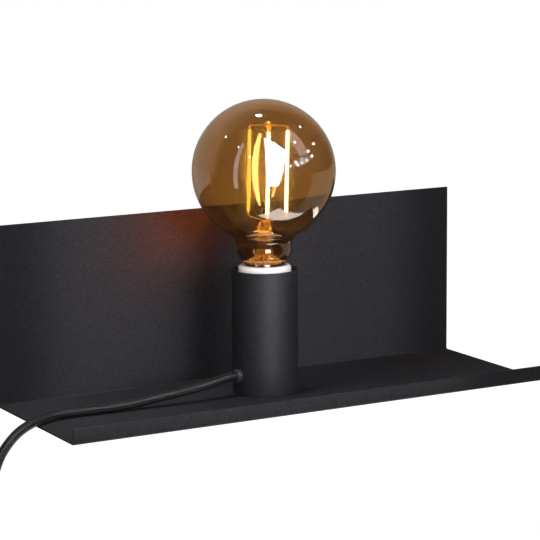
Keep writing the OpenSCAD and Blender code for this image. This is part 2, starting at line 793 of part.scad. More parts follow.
module neutral_wire()
  color("#3d6ea8") at_post(0) tube_along([
    wire_start(-1), wire_start(-1) - 1.2 * bush_dir, [-9.5, -6, gland_z + 1.5],
    [-5, -10, gland_z + 4], [1, -11, gland_z + 7.5], [6.5, -8.6, gland_z + 11.5],
    [9.8, -4, gland_z + 16], [terminal_x, -0.6, terminal_foot - 6], [terminal_x, 0, terminal_foot - 2.5],
    [terminal_x, 0, terminal_foot]
  ], wire_insulation_r, cord_sides);

// ---------------------------------------------------------------------------
// Cord

module cord_run() color("#1d1d1f") tube_along(run_route, cord_d / 2, cord_sides);
module cord_link() color("#1d1d1f") tube_along(link_route, cord_d / 2, cord_sides);
module cord_tail() color("#1d1d1f") tube_along(tail_route, cord_d / 2, cord_sides, [0, 1, 0]);

module cord_coil() {
  echo(coil_least_gap = coil_gap, coil_length = coil_length, run = route_length(run_route),
       link = route_length(link_route), tail = route_length(tail_route));
  color("#1d1d1f") tube_along(coil_route, cord_d / 2, coil_sides);
}

// Strap round all the turns, on the coil's right side
module cord_tie()
  color("#3a3a3d") {
    slack = 0.4;
    band = 1;
    tall = 8;
    passes = [for (a = [180:360:coil_end]) coil_radius(a)];
    low_r = min(passes) - cord_d / 2 - 2 * slack;
    high_r = max(passes) + cord_d / 2 + slack;
    depth = coil_step + cord_d + 2 * slack;
    translate([coil_c.x + (low_r + high_r) / 2, coil_c.y, coil_c.z - tall / 2]) linear_extrude(tall)
      difference() {
        rounded_rect(high_r - low_r + 2 * band, depth + 2 * band, 3);
        rounded_rect(high_r - low_r, depth, 2);
      }
  }

// ---------------------------------------------------------------------------
// In-line switch: its long side hangs upright and its rocker faces the room

module at_switch() translate(switch_c) children();

module cord_bores()
  for (z = [-switch_len / 2 - over, switch_len / 2 - shell_t - over])
    translate([0, 0, z]) cylinder(h = shell_t + 2 * over, d = cord_d + 0.3);

screw_place = [switch_w / 2 - shell_t - 2.8, switch_len / 2 - 10];

module switch_base()
  color("#161617") at_switch() difference() {
    union() {
      difference() {
        upright(0, switch_t / 2) rounded_rect(switch_w, switch_len, switch_r);
        upright(-over, switch_t / 2 - shell_t)
          rounded_rect(switch_w - 2 * shell_t, switch_len - 2 * shell_t, switch_r - shell_t);
      }
      for (side = [-1, 1]) translate([side * screw_place.x, 0, side * screw_place.y])
        rotate([-90, 0, 0]) cylinder(h = switch_t / 2 - shell_t, r = 3);
    }
    cord_bores();
    for (side = [-1, 1]) translate([side * screw_place.x, -over, side * screw_place.y])
      rotate([-90, 0, 0]) {
        cylinder(h = switch_t, r = 1.6);
        translate([0, 0, switch_t / 2 - 1.8 + over]) cylinder(h = 3, r = 2.8);
      }
  }

module switch_cover()
  color("#161617") at_switch() difference() {
    union() {
      difference() {
        upright(-switch_t / 2, 0) rounded_rect(switch_w, switch_len, switch_r);
        upright(shell_t - switch_t / 2, over)
          rounded_rect(switch_w - 2 * shell_t, switch_len - 2 * shell_t, switch_r - shell_t);
      }
      for (side = [-1, 1]) {
        translate([side * screw_place.x, 0, side * screw_place.y])
          rotate([90, 0, 0]) cylinder(h = switch_t / 2 - shell_t, r = 3);
        translate([side * (rocker_w / 2 + window_gap + 1) - 1, shell_t - switch_t / 2 - 0.01, -3])
          cube([2, pivot_y + switch_t / 2 - shell_t + 3, 6]);
      }
    }
    cord_bores();
    upright(-switch_t / 2 - over, shell_t - switch_t / 2 + over)
      square([rocker_w + 2 * window_gap, 2 * (rocker_r + window_gap)], center = true);
    translate([-switch_w / 2 + shell_t, pivot_y, 0]) rotate([0, 90, 0])
      cylinder(h = switch_w - 2 * shell_t, r = pivot_r + slip);
    for (side = [-1, 1]) translate([side * screw_place.x, over, side * screw_place.y])
      rotate([90, 0, 0]) cylinder(h = 7 + over, r = 1.45);
  }

// Rocker: a round bar cut to a shallow V, tipped so that its lower half is pressed in
module switch_rocker()
  color("#1b1b1c") at_switch() translate([0, pivot_y, 0]) rotate([rocker_tilt, 0, 0]) {
    crown = -switch_t / 2 - 0.2 - pivot_y;
    rise = 12 * tan(rocker_tilt);
    rotate([90, 0, 90]) linear_extrude(rocker_w, center = true) intersection() {
      circle(rocker_r);
      polygon([[2, -12], [2, 12], [crown - rise, 12], [crown, 0], [crown - rise, -12]]);
    }
    rotate([0, 90, 0]) cylinder(h = rocker_w + 2 * window_gap + 3.2, r = pivot_r, center = true);
  }

module switch_contacts()
  color("#c8a45a") at_switch() for (side = [-1, 1]) {
    floor_y = switch_t / 2 - shell_t;
    translate([-contact_block.x / 2, floor_y - contact_block.y, side * contact_z - contact_block.z / 2])
      cube(contact_block);
    outer_z = contact_z + contact_block.z / 2;
    translate([
      -contact_tongue.x / 2, floor_y - contact_block.y - contact_tongue.y,
      side > 0 ? outer_z - contact_tongue.z : -outer_z
    ]) cube(contact_tongue);
  }

module switch_screws()
  color("#c9cbce") at_switch() for (side = [-1, 1])
    translate([side * screw_place.x, switch_t / 2 - 1.8, side * screw_place.y]) rotate([90, 0, 0]) {
      cylinder(h = switch_t / 2 + 4, r = 1.4);
      translate([0, 0, -1.6]) cylinder(h = 1.6, r = 2.6);
    }

// ---------------------------------------------------------------------------
// Plug: it hangs with its pins down

module plug_body()
  color("#161617") translate(plug_top) {
    rear = -boot_len;
    face = rear - plug_len;
    translate([0, 0, rear - 3]) cylinder(h = boot_len + 3, r1 = 5.6, r2 = cord_d / 2 + 0.9);
    difference() {
      upright(-plug_t / 2, plug_t / 2) polygon([
        [-6, rear], [6, rear], [8, rear - 4], [plug_w / 2, rear - plug_len * 0.55],
        [plug_w / 2, face], [-plug_w / 2, face], [-plug_w / 2, rear - plug_len * 0.55],
        [-8, rear - 4]
      ]);
      for (side = [-1, 1]) translate([side * pin_spacing / 2, 0, face - over])
        cylinder(h = 6 + over, d = pin_core_d + 2 * slip);
    }
  }

module plug_pins()
  color("#c9cbce") translate([plug_top.x, plug_top.y, plug_top.z - boot_len - plug_len])
    for (side = [-1, 1]) translate([side * pin_spacing / 2, 0, 0]) {
      translate([0, 0, -pin_sleeve_len]) cylinder(h = pin_sleeve_len + 6, d = pin_core_d);
      translate([0, 0, 1 - pin_len]) cylinder(h = pin_len - pin_sleeve_len - 1, d = pin_d);
      translate([0, 0, -pin_len]) cylinder(h = 1, d1 = pin_d - 1.4, d2 = pin_d);
    }

module pin_sleeves()
  color("#161617") translate([plug_top.x, plug_top.y, plug_top.z - boot_len - plug_len])
    for (side = [-1, 1]) translate([side * pin_spacing / 2, 0, -pin_sleeve_len]) difference() {
      cylinder(h = pin_sleeve_len, d = pin_sleeve_d);
      translate([0, 0, -over]) cylinder(h = pin_sleeve_len + 2 * over, d = pin_core_d + 2 * slip);
    }

wall_bracket();
shelf_plate();
hanger_rail();
wall_pads();
socket_tube();
base_disc();
threaded_nipple();
nipple_nuts();
toothed_washer();
holder_crossbar();
holder_screws();
holder_body();
screw_shell();
centre_contact();
terminal_blocks();
terminal_screws();
bulb_glass();
bulb_stem();
bulb_filament_1();
bulb_filament_2();
bulb_filament_3();
bulb_filament_4();
upper_wires();
lower_wires();
lead_wires();
bulb_cap();
cap_insulator();
cap_contact();
bulb_driver();
cord_bush();
bush_lock_ring();
sheath_tail();
live_wire();
neutral_wire();
cord_run();
switch_base();
switch_cover();
switch_rocker();
switch_contacts();
switch_screws();
cord_link();
cord_coil();
cord_tie();
cord_tail();
plug_body();
plug_pins();
pin_sleeves();
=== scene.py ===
"""Wall lamp with a folded steel shelf: the looks, built round the fixed frame.

Lengths are in millimetres until the mesh is made. The frame is the CAD's: +Z up, +Y into the wall,
+X to the right, origin midway between the two wall screws.
"""

import math

import bmesh
import bpy
import numpy as np
from mathutils import Matrix, Vector


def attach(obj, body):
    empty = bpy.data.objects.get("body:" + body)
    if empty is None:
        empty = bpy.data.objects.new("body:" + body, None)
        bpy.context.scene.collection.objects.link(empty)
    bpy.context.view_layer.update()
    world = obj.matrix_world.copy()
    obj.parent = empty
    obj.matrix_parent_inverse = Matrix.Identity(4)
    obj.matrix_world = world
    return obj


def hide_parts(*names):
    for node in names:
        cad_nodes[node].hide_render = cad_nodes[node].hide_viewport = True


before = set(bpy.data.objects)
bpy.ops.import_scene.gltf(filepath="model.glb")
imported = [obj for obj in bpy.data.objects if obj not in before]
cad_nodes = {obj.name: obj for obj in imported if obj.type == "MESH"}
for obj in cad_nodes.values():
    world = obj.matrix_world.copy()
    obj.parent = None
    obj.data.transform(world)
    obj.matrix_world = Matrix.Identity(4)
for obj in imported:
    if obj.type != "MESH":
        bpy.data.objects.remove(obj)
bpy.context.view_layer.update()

scene = bpy.context.scene
scene.view_settings.view_transform = "Standard"

MM = 0.001
PLATE_BACK, PLATE_FRONT, LIP_BACK, LIP_FRONT = -5.0, -6.5, -123.5, -125.0  # the folded sheet in Y
PLATE_TOP, LIP_TOP, SHELF_TOP, SHELF_UNDER = 40.0, -69.5, -78.5, -80.0  # and in Z
HALF_WIDTH = 175.0
POST = np.array([-4.5, -58.5, SHELF_TOP])  # foot of the post, on the shelf's top face
TUBE_R, TUBE_IN_R, TUBE_H = 22.0, 20.8, 83.0
BUSH = POST + [0, 0, 13.2]  # on the post's axis, at the height of the cord's bush
BUSH_DIR = np.array([-math.cos(math.radians(8)), -math.sin(math.radians(8)), 0.0])
BUSH_FACE = 25.5  # from the post's axis to the bush's outer face
CORD_D = 6.2
CORD_R = CORD_D / 2 * 0.985  # the smooth tube, under the relief of its braid

CORNERS = ((-1, -1), (1, -1), (1, 1), (-1, 1))  # of a square, counter-clockwise
CAMERA_TURN = (29.082, 9.820, -0.498)  # yaw, pitch and roll in degrees, fitted to the photograph
CAMERA_PLACE = (-0.72124, -1.35452, 0.25971)
FOCAL_PIXELS, PICTURE_PIXELS, SENSOR = 2266.38, 540, 36


# ---- camera


def place_camera():
    """Camera at the photograph's place: yaw, pitch and roll turn the view from +Y, and the lens is
    the fitted focal length in pixels times the sensor width over the picture width."""
    yaw, pitch, roll = (math.radians(a) for a in CAMERA_TURN)
    forward = np.array([math.sin(yaw) * math.cos(pitch), math.cos(yaw) * math.cos(pitch), -math.sin(pitch)])
    level = np.array([math.cos(yaw), -math.sin(yaw), 0.0])
    up = np.cross(level, forward)
    right = math.cos(roll) * level + math.sin(roll) * up
    head = -math.sin(roll) * level + math.cos(roll) * up
    data = bpy.data.cameras.new("photo_camera")
    data.sensor_fit = "HORIZONTAL"
    data.sensor_width = SENSOR
    data.lens = FOCAL_PIXELS * SENSOR / PICTURE_PIXELS
    data.clip_start, data.clip_end = 0.05, 60
    cam = bpy.data.objects.new("photo_camera", data)
    scene.collection.objects.link(cam)
    turn = np.eye(4)
    turn[:3] = np.column_stack([right, head, -forward, CAMERA_PLACE])
    cam.matrix_world = Matrix(turn.tolist())
    scene.camera = cam


place_camera()


# ---- shapes worked out on grids


def unit(v):
    """v divided by its length, along the last axis."""
    return v / np.linalg.norm(v, axis=-1, keepdims=True)


def softened(corners, steps=6):
    """Outline through (a, b, radius) corners: each corner gives way to an arc tangent to both sides,
    whose centre lies on the bisector at radius over the sine of half the corner's angle. A corner of
    radius 0 stays, and so do the ends of an outline that starts and ends on a turning axis."""
    c = np.array(corners, float)
    out = []
    for i, (a, b, radius) in enumerate(c):
        p = np.array([a, b])
        if radius <= 0:
            out.append(p[None])
            continue
        back = unit(c[i - 1, :2] - p)
        ahead = unit(c[(i + 1) % len(c), :2] - p)
        half = math.acos(np.clip(back @ ahead, -1, 1)) / 2
        middle = p + unit(back + ahead) * radius / math.sin(half)
        start = p + back * radius / math.tan(half) - middle
        end = p + ahead * radius / math.tan(half) - middle
        a0 = math.atan2(start[1], start[0])
        sweep = (math.atan2(end[1], end[0]) - a0 + math.pi) % (2 * math.pi) - math.pi
        t = a0 + sweep * np.linspace(0, 1, steps)
        out.append(middle + radius * np.stack([np.cos(t), np.sin(t)], 1))
    return np.concatenate(out)


def box_outline(width, height, radius, middle=(0, 0), steps=12):
    """Outline of a box with round corners."""
    return softened([
        (middle[0] + x * width / 2, middle[1] + y * height / 2, radius) for x, y in CORNERS
    ], steps=steps)


def turned(profile, segments=96, centre=POST, axis=(0, 0, 1), across=(1, 0, 0)):
    """Surface of revolution: profile point (r, s) at angle t goes to centre + s axis + r (cos t across
    + sin t (axis x across))."""
    axis, across = unit(np.array(axis, float)), np.array(across, float)
    across = unit(across - (across @ axis) * axis)
    side = np.cross(axis, across)
    t = np.linspace(0, 2 * np.pi, segments, endpoint=False)
    ring = np.cos(t)[:, None] * across + np.sin(t)[:, None] * side
    p = np.asarray(profile, float)
    return centre + p[:, None, 1:2] * axis + p[:, None, 0:1] * ring[None]


def at_height(outline, height):
    """Points (a, b, height) of a flat outline."""
    return np.column_stack([outline, np.full(len(outline), height)])


def outward(outline, amount):
    """Closed outline moved by amount along its own normal, which is the tangent turned by 90 degrees."""
    tangent = unit(np.roll(outline, -1, 0) - np.roll(outline, 1, 0))
    normal = np.stack([tangent[:, 1], -tangent[:, 0]], 1)
    x, y = outline.T
    area = 0.5 * np.sum(x * np.roll(y, -1) - y * np.roll(x, -1))
    return outline + amount * normal * np.sign(area)


def drawn_out(outline, low, high, edge=0.3, steps=4):
    """Closed outline carried from low to high. Near each end it draws in by edge (1 - cos a) while it
    advances by edge sin a, so that both end faces have round edges. Returns (stations, points, 3) with
    the carried axis last."""
    a = np.linspace(0, np.pi / 2, steps + 1)
    inset = edge * (1 - np.cos(a))
    advance = edge * np.sin(a)
    stations = [(low + edge - s, -d) for s, d in zip(advance[::-1], inset[::-1])]
    stations += [(high - edge + s, -d) for s, d in zip(advance, inset)]
    return np.stack([at_height(outward(outline, d), x) for x, d in stations])


def curve_through(points, per=6):
    """Smooth line through points: on each span a cubic that leaves and meets its ends along the chord
    between their neighbours (Catmull-Rom), sampled per times a span."""
    p = np.asarray(points, float)
    q = np.concatenate([2 * p[:1] - p[1:2], p, 2 * p[-1:] - p[-2:-1]])
    t = np.linspace(0, 1, per, endpoint=False)[None, :, None]
    a, b, c, d = (q[i : len(q) - 3 + i][:, None] for i in range(4))
    s = 0.5 * (2 * b + (c - a) * t + (2 * a - 5 * b + 4 * c - d) * t**2 + (3 * b - a - 3 * c + d) * t**3)
    return np.concatenate([s.reshape(-1, 3), p[-1:]])


def even(path, step):
    """The same line with its points at equal steps of arc length."""
    run = np.concatenate([[0], np.cumsum(np.linalg.norm(np.diff(path, axis=0), axis=1))])
    s = np.linspace(0, run[-1], max(2, int(round(run[-1] / step)) + 1))
    return np.stack([np.interp(s, run, path[:, k]) for k in range(3)], 1)


def swept(path, radius, sides=24, up=(0, 1, 0)):
    """Tube round a path: at each point a circle of the given radius in the plane square to the
    tangent, its first point turned towards up."""
    tangent = unit(np.gradient(path, axis=0))
    tangent[0], tangent[-1] = unit(path[1] - path[0]), unit(path[-1] - path[-2])
    up = np.array(up, float)
    first = unit(up - (tangent @ up)[:, None] * tangent)
    second = np.cross(tangent, first)
    t = np.linspace(0, 2 * np.pi, sides, endpoint=False)[None, :, None]
    return path[:, None] + radius * (np.cos(t) * first[:, None] + np.sin(t) * second[:, None])


def oval(width, depth, power=2.0, count=64):
    """Superellipse outline: |x/w|^n + |y/d|^n = 1 with half sizes width / 2 and depth / 2."""
    t = np.linspace(0, 2 * np.pi, count, endpoint=False)
    c, s = np.cos(t), np.sin(t)
    x = width / 2 * np.sign(c) * np.abs(c) ** (2 / power)
    y = depth / 2 * np.sign(s) * np.abs(s) ** (2 / power)
    return np.stack([x, y], 1)


class Piece:
    """Gathers grids of points in millimetres and makes them one mesh object, which rides on a body and
    replaces the CAD nodes named in nodes. Its slot is not used."""

    def __init__(self, name, nodes, slot, body="lamp"):
        self.name, self.nodes, self.slot, self.body = name, nodes, slot, body
        self.verts, self.faces, self.uvs, self.slots, self.materials = [], [], [], [], []
        self.count = 0

    def grid(self, points, material, ends=True, uv_length=1.0):
        """Adds quads between the grid's neighbours, and between its last column and the first. ends
        closes the first and last rows with one face each. UV: u is the share of the way round, and v
        the length along the rows over uv_length."""
        rows, cols = points.shape[:2]
        i, j = np.meshgrid(np.arange(rows - 1), np.arange(cols), indexing="ij")
        k = (j + 1) % cols
        quads = np.stack([i * cols + j, i * cols + k, (i + 1) * cols + k, (i + 1) * cols + j], -1)
        along = np.linalg.norm(np.diff(points, axis=0), axis=2).mean(1)
        v = np.concatenate([[0], np.cumsum(along)]) / uv_length
        u = np.arange(cols + 1) / cols
        corner_uv = np.stack([
            np.stack([u[j], v[i]], -1), np.stack([u[j + 1], v[i]], -1),
            np.stack([u[j + 1], v[i + 1]], -1), np.stack([u[j], v[i + 1]], -1)
        ], 2)
        if material not in self.materials:
            self.materials.append(material)
        m = self.materials.index(material)
        self.verts.append(points.reshape(-1, 3))
        self.faces += (quads.reshape(-1, 4) + self.count).tolist()
        self.uvs.append(corner_uv.reshape(-1, 2))
        self.slots += [m] * (quads.size // 4)
        if ends:
            for row in (0, rows - 1):
                self.faces.append((np.arange(cols) + row * cols + self.count).tolist())
                self.uvs.append(np.zeros((cols, 2)))
                self.slots.append(m)
        self.count += rows * cols
        return self

    def turned(self, profile, material, segments=96, **where):
        """Adds a surface of revolution. Its profile starts and ends on the axis, or else is a loop."""
        p = np.asarray(profile, float)
        if p[0, 0] > 0:
            p = np.concatenate([p, p[:1]])
        return self.grid(turned(p, segments, **where), material, ends=False)

    def make(self, sharp=35):
        """Builds the mesh, merges doubles, turns the faces outwards, hangs the piece on its body and hides
        the CAD nodes that it replaces.
        """
        mesh = bpy.data.meshes.new(self.name)
        mesh.from_pydata((np.concatenate(self.verts) * MM).tolist(), [], self.faces)
        layer = mesh.uv_layers.new(name="along")
        layer.data.foreach_set("uv", np.concatenate(self.uvs).astype(np.float32).ravel())
        for m in self.materials:
            mesh.materials.append(m)
        mesh.polygons.foreach_set("material_index", self.slots)
        shape = bmesh.new()
        shape.from_mesh(mesh)
        bmesh.ops.remove_doubles(shape, verts=shape.verts, dist=2e-6)
        bmesh.ops.dissolve_degenerate(shape, edges=shape.edges, dist=1e-7)
        bmesh.ops.recalc_face_normals(shape, faces=shape.faces)
        shape.to_mesh(mesh)
        shape.free()
        mesh.shade_smooth()
        mesh.set_sharp_from_angle(angle=math.radians(sharp))
        thing = bpy.data.objects.new(self.name, mesh)
        scene.collection.objects.link(thing)
        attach(thing, self.body)
        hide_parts(*self.nodes.split())
        return thing


# ---- materials


def paint(code):
    """sRGB hex code as linear colour: c / 12.92 below 0.04045, else ((c + 0.055) / 1.055) ^ 2.4."""
    c = np.array([int(code[i : i + 2], 16) / 255 for i in (1, 3, 5)])
    return (*np.where(c <= 0.04045, c / 12.92, ((c + 0.055) / 1.055) ** 2.4).tolist(), 1.0)


def add(tree, kind, settings=None, inputs=None):
    """Adds one node. settings are its properties, and inputs its sockets by name or number, each a
    value or another node's output."""
    node = tree.nodes.new("ShaderNode" + kind)
    for key, value in (settings or {}).items():
        setattr(node, key, value)
    for key, value in (inputs or {}).items():
        if isinstance(value, bpy.types.NodeSocket):
            tree.links.new(value, node.inputs[key])
        else:
            node.inputs[key].default_value = value
    return node


def maths(tree, operation, *values):
    """One operation on up to three numbers."""
    return add(tree, "Math", {"operation": operation}, dict(enumerate(values))).outputs["Value"]


def spread(tree, value, low, high, start=0.0, end=1.0, smooth=False):
    """The range low to high carried to start to end and held there, straight or eased at both ends."""
    kind = {"interpolation_type": "SMOOTHSTEP" if smooth else "LINEAR"}
    return add(tree, "MapRange", kind, {
        "Value": value, "From Min": low, "From Max": high, "To Min": start, "To Max": end
    }).outputs["Result"]


def between(tree, share, first, second):
    """The number at that share of the way from first to second."""
    return add(tree, "Mix", {"data_type": "FLOAT"}, {"Factor": share, 2: first, 3: second}).outputs[0]


def times(tree, colour, factor, share=1.0):
    """colour times factor, in the given share."""
    kind = {"data_type": "RGBA", "blend_type": "MULTIPLY"}
    return add(tree, "Mix", kind, {"Factor": share, 6: colour, 7: factor}).outputs[2]


def tones(tree, value, *stops):
    """Colour by value through (value, hex code) stops."""
    node = add(tree, "ValToRGB", None, {"Fac": value})
    while len(node.color_ramp.elements) < len(stops):
        node.color_ramp.elements.new(0.5)
    for element, (position, code) in zip(node.color_ramp.elements, stops):
        element.position, element.color = position, paint(code)
    return node.outputs["Color"]


def noise(tree, place, size, detail, **more):
    """Outputs of a noise whose clouds are about size metres across."""
    return add(tree, "TexNoise", None, {"Vector": place, "Scale": 1 / size, "Detail": detail, **more}).outputs


def relief(tree, height, strength, depth):
    """Normal of a surface that height, from 0 to 1, lifts by up to depth metres."""
    bump = {"Height": height, "Strength": strength, "Distance": depth}
    return add(tree, "Bump", None, bump).outputs["Normal"]


def axes(tree, vector):
    """The three outputs X, Y and Z of a vector."""
    return add(tree, "SeparateXYZ", None, {"Vector": vector}).outputs


def rays(tree):
    """Outputs that tell what kind of ray looks at the surface."""
    return add(tree, "LightPath").outputs


def body(tree, **inputs):
    """Principled surface, whose inputs are named with underscores for their spaces."""
    named = {key.replace("_", " "): value for key, value in inputs.items()}
    return add(tree, "BsdfPrincipled", None, named).outputs["BSDF"]


def shaders(tree, share, first, second):
    """first where share is 0 and second where it is 1."""
    return add(tree, "MixShader", None, {"Fac": share, 1: first, 2: second}).outputs["Shader"]


def blank(name):
    """A new material with an empty tree, its tree and its object coordinates."""
    m = bpy.data.materials.new(name)
    m.use_nodes = True
    m.node_tree.nodes.clear()
    return m, m.node_tree, add(m.node_tree, "TexCoord").outputs["Object"]


def finish(m, shader):
    """Gives the material its shader, and returns it."""
    add(m.node_tree, "OutputMaterial", None, {"Surface": shader})
    return m


def powder_coat(name, smooth, coarse, specular):
    """Polyester powder coat, black with a fine texture, sprayed on steel and baked: a skin of fine
    grains with a soft broad sheen, and wider soft patches where it lies thicker. Its roughness runs
    between smooth and coarse. Towards the sheet's two ends, by the distance from its middle, and on
    its lip towards the right alone, it grows rougher, and its colour is darkened there as painted
    shade for the light that falls off towards the ends."""
    m, t, place = blank(name)
    # grains of 0.3 mm are drawn at 0.7 mm, so that they show at this picture's 0.65 mm a pixel
    grain = noise(t, place, 0.0007, 0.0, Roughness=0.5)["Fac"]
    cells = add(t, "TexVoronoi", None, {"Vector": place, "Scale": 1 / 0.0007}).outputs["Distance"]
    patch = noise(t, place, 0.035, 3.0)["Fac"]
    tone = tones(t, grain, (0.30, "#070708"), (0.52, "#121214"), (0.72, "#2b2b2e"))
    shade = times(t, tone, spread(t, patch, 0.3, 0.7, 0.86, 1.12))
    x, y, _ = axes(t, place)
    lip = spread(t, y, LIP_BACK * MM + 0.002, LIP_BACK * MM)
    off = between(t, lip, maths(t, "ABSOLUTE", x), maths(t, "ADD", x, LIP_END_SHIFT))
    end_rough = spread(t, off, *ENDS_FROM_TO, 0.0, END_ROUGH, smooth=True)
    # painted shade: the colour darkens towards the ends, where the light falls off
    painted_end_shade = spread(t, off, *ENDS_FROM_TO, 1.0, END_PAINTED_SHADE, smooth=True)
    rough = maths(t, "ADD", spread(t, cells, 0.0, 0.7, smooth, coarse), end_rough)
    return finish(m, body(
        t, Base_Color=times(t, shade, painted_end_shade), Roughness=rough, IOR=1.52, Specular_IOR_Level=specular,
        Normal=relief(t, maths(t, "ADD", grain, cells), 0.8, 0.0002)
    ))


def zinc_plate():
    """Zinc plating on cold-rolled steel strip: a grey metal with a faint bluish cloud and fine rolling
    lines, which spread its reflections."""
    m, t, place = blank("zinc_plated_steel")
    lines = add(t, "Mapping", None, {"Vector": place, "Scale": (8.0, 1.0, 1.0)}).outputs["Vector"]
    roll = noise(t, lines, 0.004, 4.0)["Fac"]
    tone = tones(t, noise(t, place, 0.012, 2.0)["Fac"], (0.35, "#9a9da2"), (0.65, "#b9bcc0"))
    return finish(m, body(
        t, Base_Color=tone, Metallic=1.0, Roughness=spread(t, roll, 0, 1, 0.28, 0.5),
        Normal=relief(t, roll, 0.15, 0.00005)
    ))


def bright_metal(name, low, high, rough_low, rough_high, size, glow=0.0):
    """Plated or drawn metal: the colour runs between two tones in clouds of the given size, and the
    roughness with it, as handling and the draw leave them. glow is the amber light on a wire that
    stands beside the lit filaments."""
    m, t, place = blank(name)
    cloud = noise(t, place, size, 3.0)["Fac"]
    return finish(m, body(
        t, Base_Color=tones(t, cloud, (0.3, low), (0.7, high)), Metallic=1.0,
        Roughness=spread(t, cloud, 0, 1, rough_low, rough_high),
        Emission_Color=paint("#ffb04a"), Emission_Strength=glow
    ))


def moulded(name, low, high, roughness, grain, depth, specular=0.5):
    """Moulded plastic or rubber: a near even colour with a fine grain from the tool's surface, given
    by its size and its depth in metres."""
    m, t, place = blank(name)
    skin = noise(t, place, grain, 2.0)["Fac"]
    return finish(m, body(
        t, Base_Color=tones(t, skin, (0.3, low), (0.7, high)), Roughness=roughness,
        Normal=relief(t, skin, 0.5, depth), Specular_IOR_Level=specular
    ))


def glazed_porcelain():
    """Steatite porcelain, pressed, glazed and fired: warm white under a clear glaze with a slight
    unevenness, and a few fine iron specks."""
    m, t, place = blank("glazed_porcelain")
    speck = add(t, "TexVoronoi", None, {"Vector": place, "Scale": 1 / 0.004}).outputs["Distance"]
    return finish(m, body(
        t, Base_Color=tones(t, speck, (0.04, "#b9a98f"), (0.07, "#f4efe6")), Roughness=0.12, IOR=1.52,
        Normal=relief(t, noise(t, place, 0.006, 1.0)["Fac"], 0.2, 0.0002), Coat_Weight=0.6,
        Coat_Roughness=0.04, Subsurface_Weight=0.15, Subsurface_Radius=(0.004, 0.003, 0.002)
    ))


def passing(tree, shader, colour):
    """The shader for what is seen, and a clear pane of that colour for light on its way to a lamp."""
    clear = add(tree, "BsdfTransparent", None, {"Color": paint(colour)}).outputs["BSDF"]
    return shaders(tree, rays(tree)["Is Shadow Ray"], shader, clear)


def blown_glass(name, tint, shade, ior, haze, veil_tint):
    """Blown soda-lime glass with tint for its metal-oxide coat, which also lifts its reflections above
    those of bare glass at 1.51. haze is the share of the coat that scatters, in the colour veil_tint,
    and draws the halo round a bright filament. Light passes it in the colour shade."""
    m, t, place = blank(name)
    wave = relief(t, noise(t, place, 0.018, 1.0)["Fac"], 0.1, 0.0003)
    clear = body(t, Base_Color=paint(tint), Roughness=0.0, IOR=ior, Transmission_Weight=1.0, Normal=wave)
    veil = body(t, Base_Color=paint(veil_tint), Roughness=0.36, IOR=ior, Transmission_Weight=1.0)
    return finish(m, passing(t, shaders(t, haze, clear, veil), shade))


def pressed_glass():
    """Clear glass of the stem, drawn over a flame and pressed round its wires. It pipes the filaments'
    light, which leaves it in amber sparks of about 1 mm where the glass is creased: round its flare,
    and twice as bright at its top end where the wires come out."""
    m, t, place = blank("pressed_stem_glass")
    _, _, z = axes(t, place)
    flare = spread(t, z, 0.019, 0.0095, smooth=True)
    crown = spread(t, z, 0.022, 0.034, 0.0, 2.0, smooth=True)
    crease = noise(t, place, 0.0016, 3.0, Distortion=1.2)["Fac"]
    spark = spread(t, crease, 0.53, 0.74, 0.0, 4.0, smooth=True)
    glass = body(
        t, Base_Color=paint("#efe6d6"), Roughness=0.02, IOR=1.51, Transmission_Weight=1.0,
        Normal=relief(t, crease, 0.8, 0.0006), Emission_Color=paint("#ffbe5c"),
        Emission_Strength=maths(t, "MULTIPLY", spark, maths(t, "ADD", flare, crown))
    )
    return finish(m, passing(t, glass, "#f3e6cf"))


def lit_phosphor(name, hot, cool, hot_strength, cool_strength):
    """Yellow phosphor silicone over blue chips, lit: white-hot where the chips face and amber behind
    them, from the piece's own UV, which runs round the filament from the side that they face. Seen
    directly or in a clear mirror it has its full strength. Other rays get a steady glow, the brighter
    one through glass, so that the haze draws an even halo."""
    m, t, _ = blank(name)
    u, _, _ = axes(t, add(t, "UVMap", {"uv_map": "along"}).outputs["UV"])
    side = maths(t, "COSINE", maths(t, "MULTIPLY", u, 2 * math.pi))
    power = spread(t, side, -0.2, 0.3, cool_strength, hot_strength)
    ray = rays(t)
    direct = maths(t, "MAXIMUM", ray["Is Singular Ray"], ray["Is Camera Ray"])
    halo = spread(t, ray["Is Transmission Ray"], 0, 1, 2.0, 26.0)
    return finish(m, body(
        t, Base_Color=paint("#f2b23a"), Roughness=0.5, Emission_Color=tones(t, side, (0.0, cool), (0.5, hot)),
        Emission_Strength=between(t, direct, halo, power)
    ))


def textile_braid():
    """Black rayon braid over a round flex: two families of yarn cross at about 1.6 mm and leave
    little raised diamonds. Its height is the product of the sines of both families' phases, which
    add and subtract the way round and the way along of the cord's own UV. The colour follows the
    height, with painted shade in the hollows between the yarns and a painted highlight on their crests."""
    m, t, place = blank("textile_braid_black")
    u, v, _ = axes(t, add(t, "UVMap", {"uv_map": "along"}).outputs["UV"])
    yarns, picks = maths(t, "MULTIPLY", u, 12 * math.pi), maths(t, "MULTIPLY", v, math.pi)
    left, right = (maths(t, "SINE", maths(t, way, yarns, picks)) for way in ("ADD", "SUBTRACT"))
    height = spread(t, maths(t, "MULTIPLY", left, right), -1.0, 1.0)
    fuzz = noise(t, place, 0.0009, 3.0)
    # painted shade in the hollows and a painted highlight on the crests of the yarns
    tone = tones(t, height, (0.1, "#030303"), (0.6, "#0a0a0b"), (0.95, "#383432"))
    return finish(m, body(
        t, Base_Color=times(t, tone, fuzz["Color"], 0.5), Roughness=0.4, Specular_IOR_Level=0.6,
        Sheen_Weight=0.06, Sheen_Roughness=0.4,
        Normal=relief(t, maths(t, "MULTIPLY_ADD", fuzz["Fac"], 0.3, height), 0.9, 0.00035)
    ))


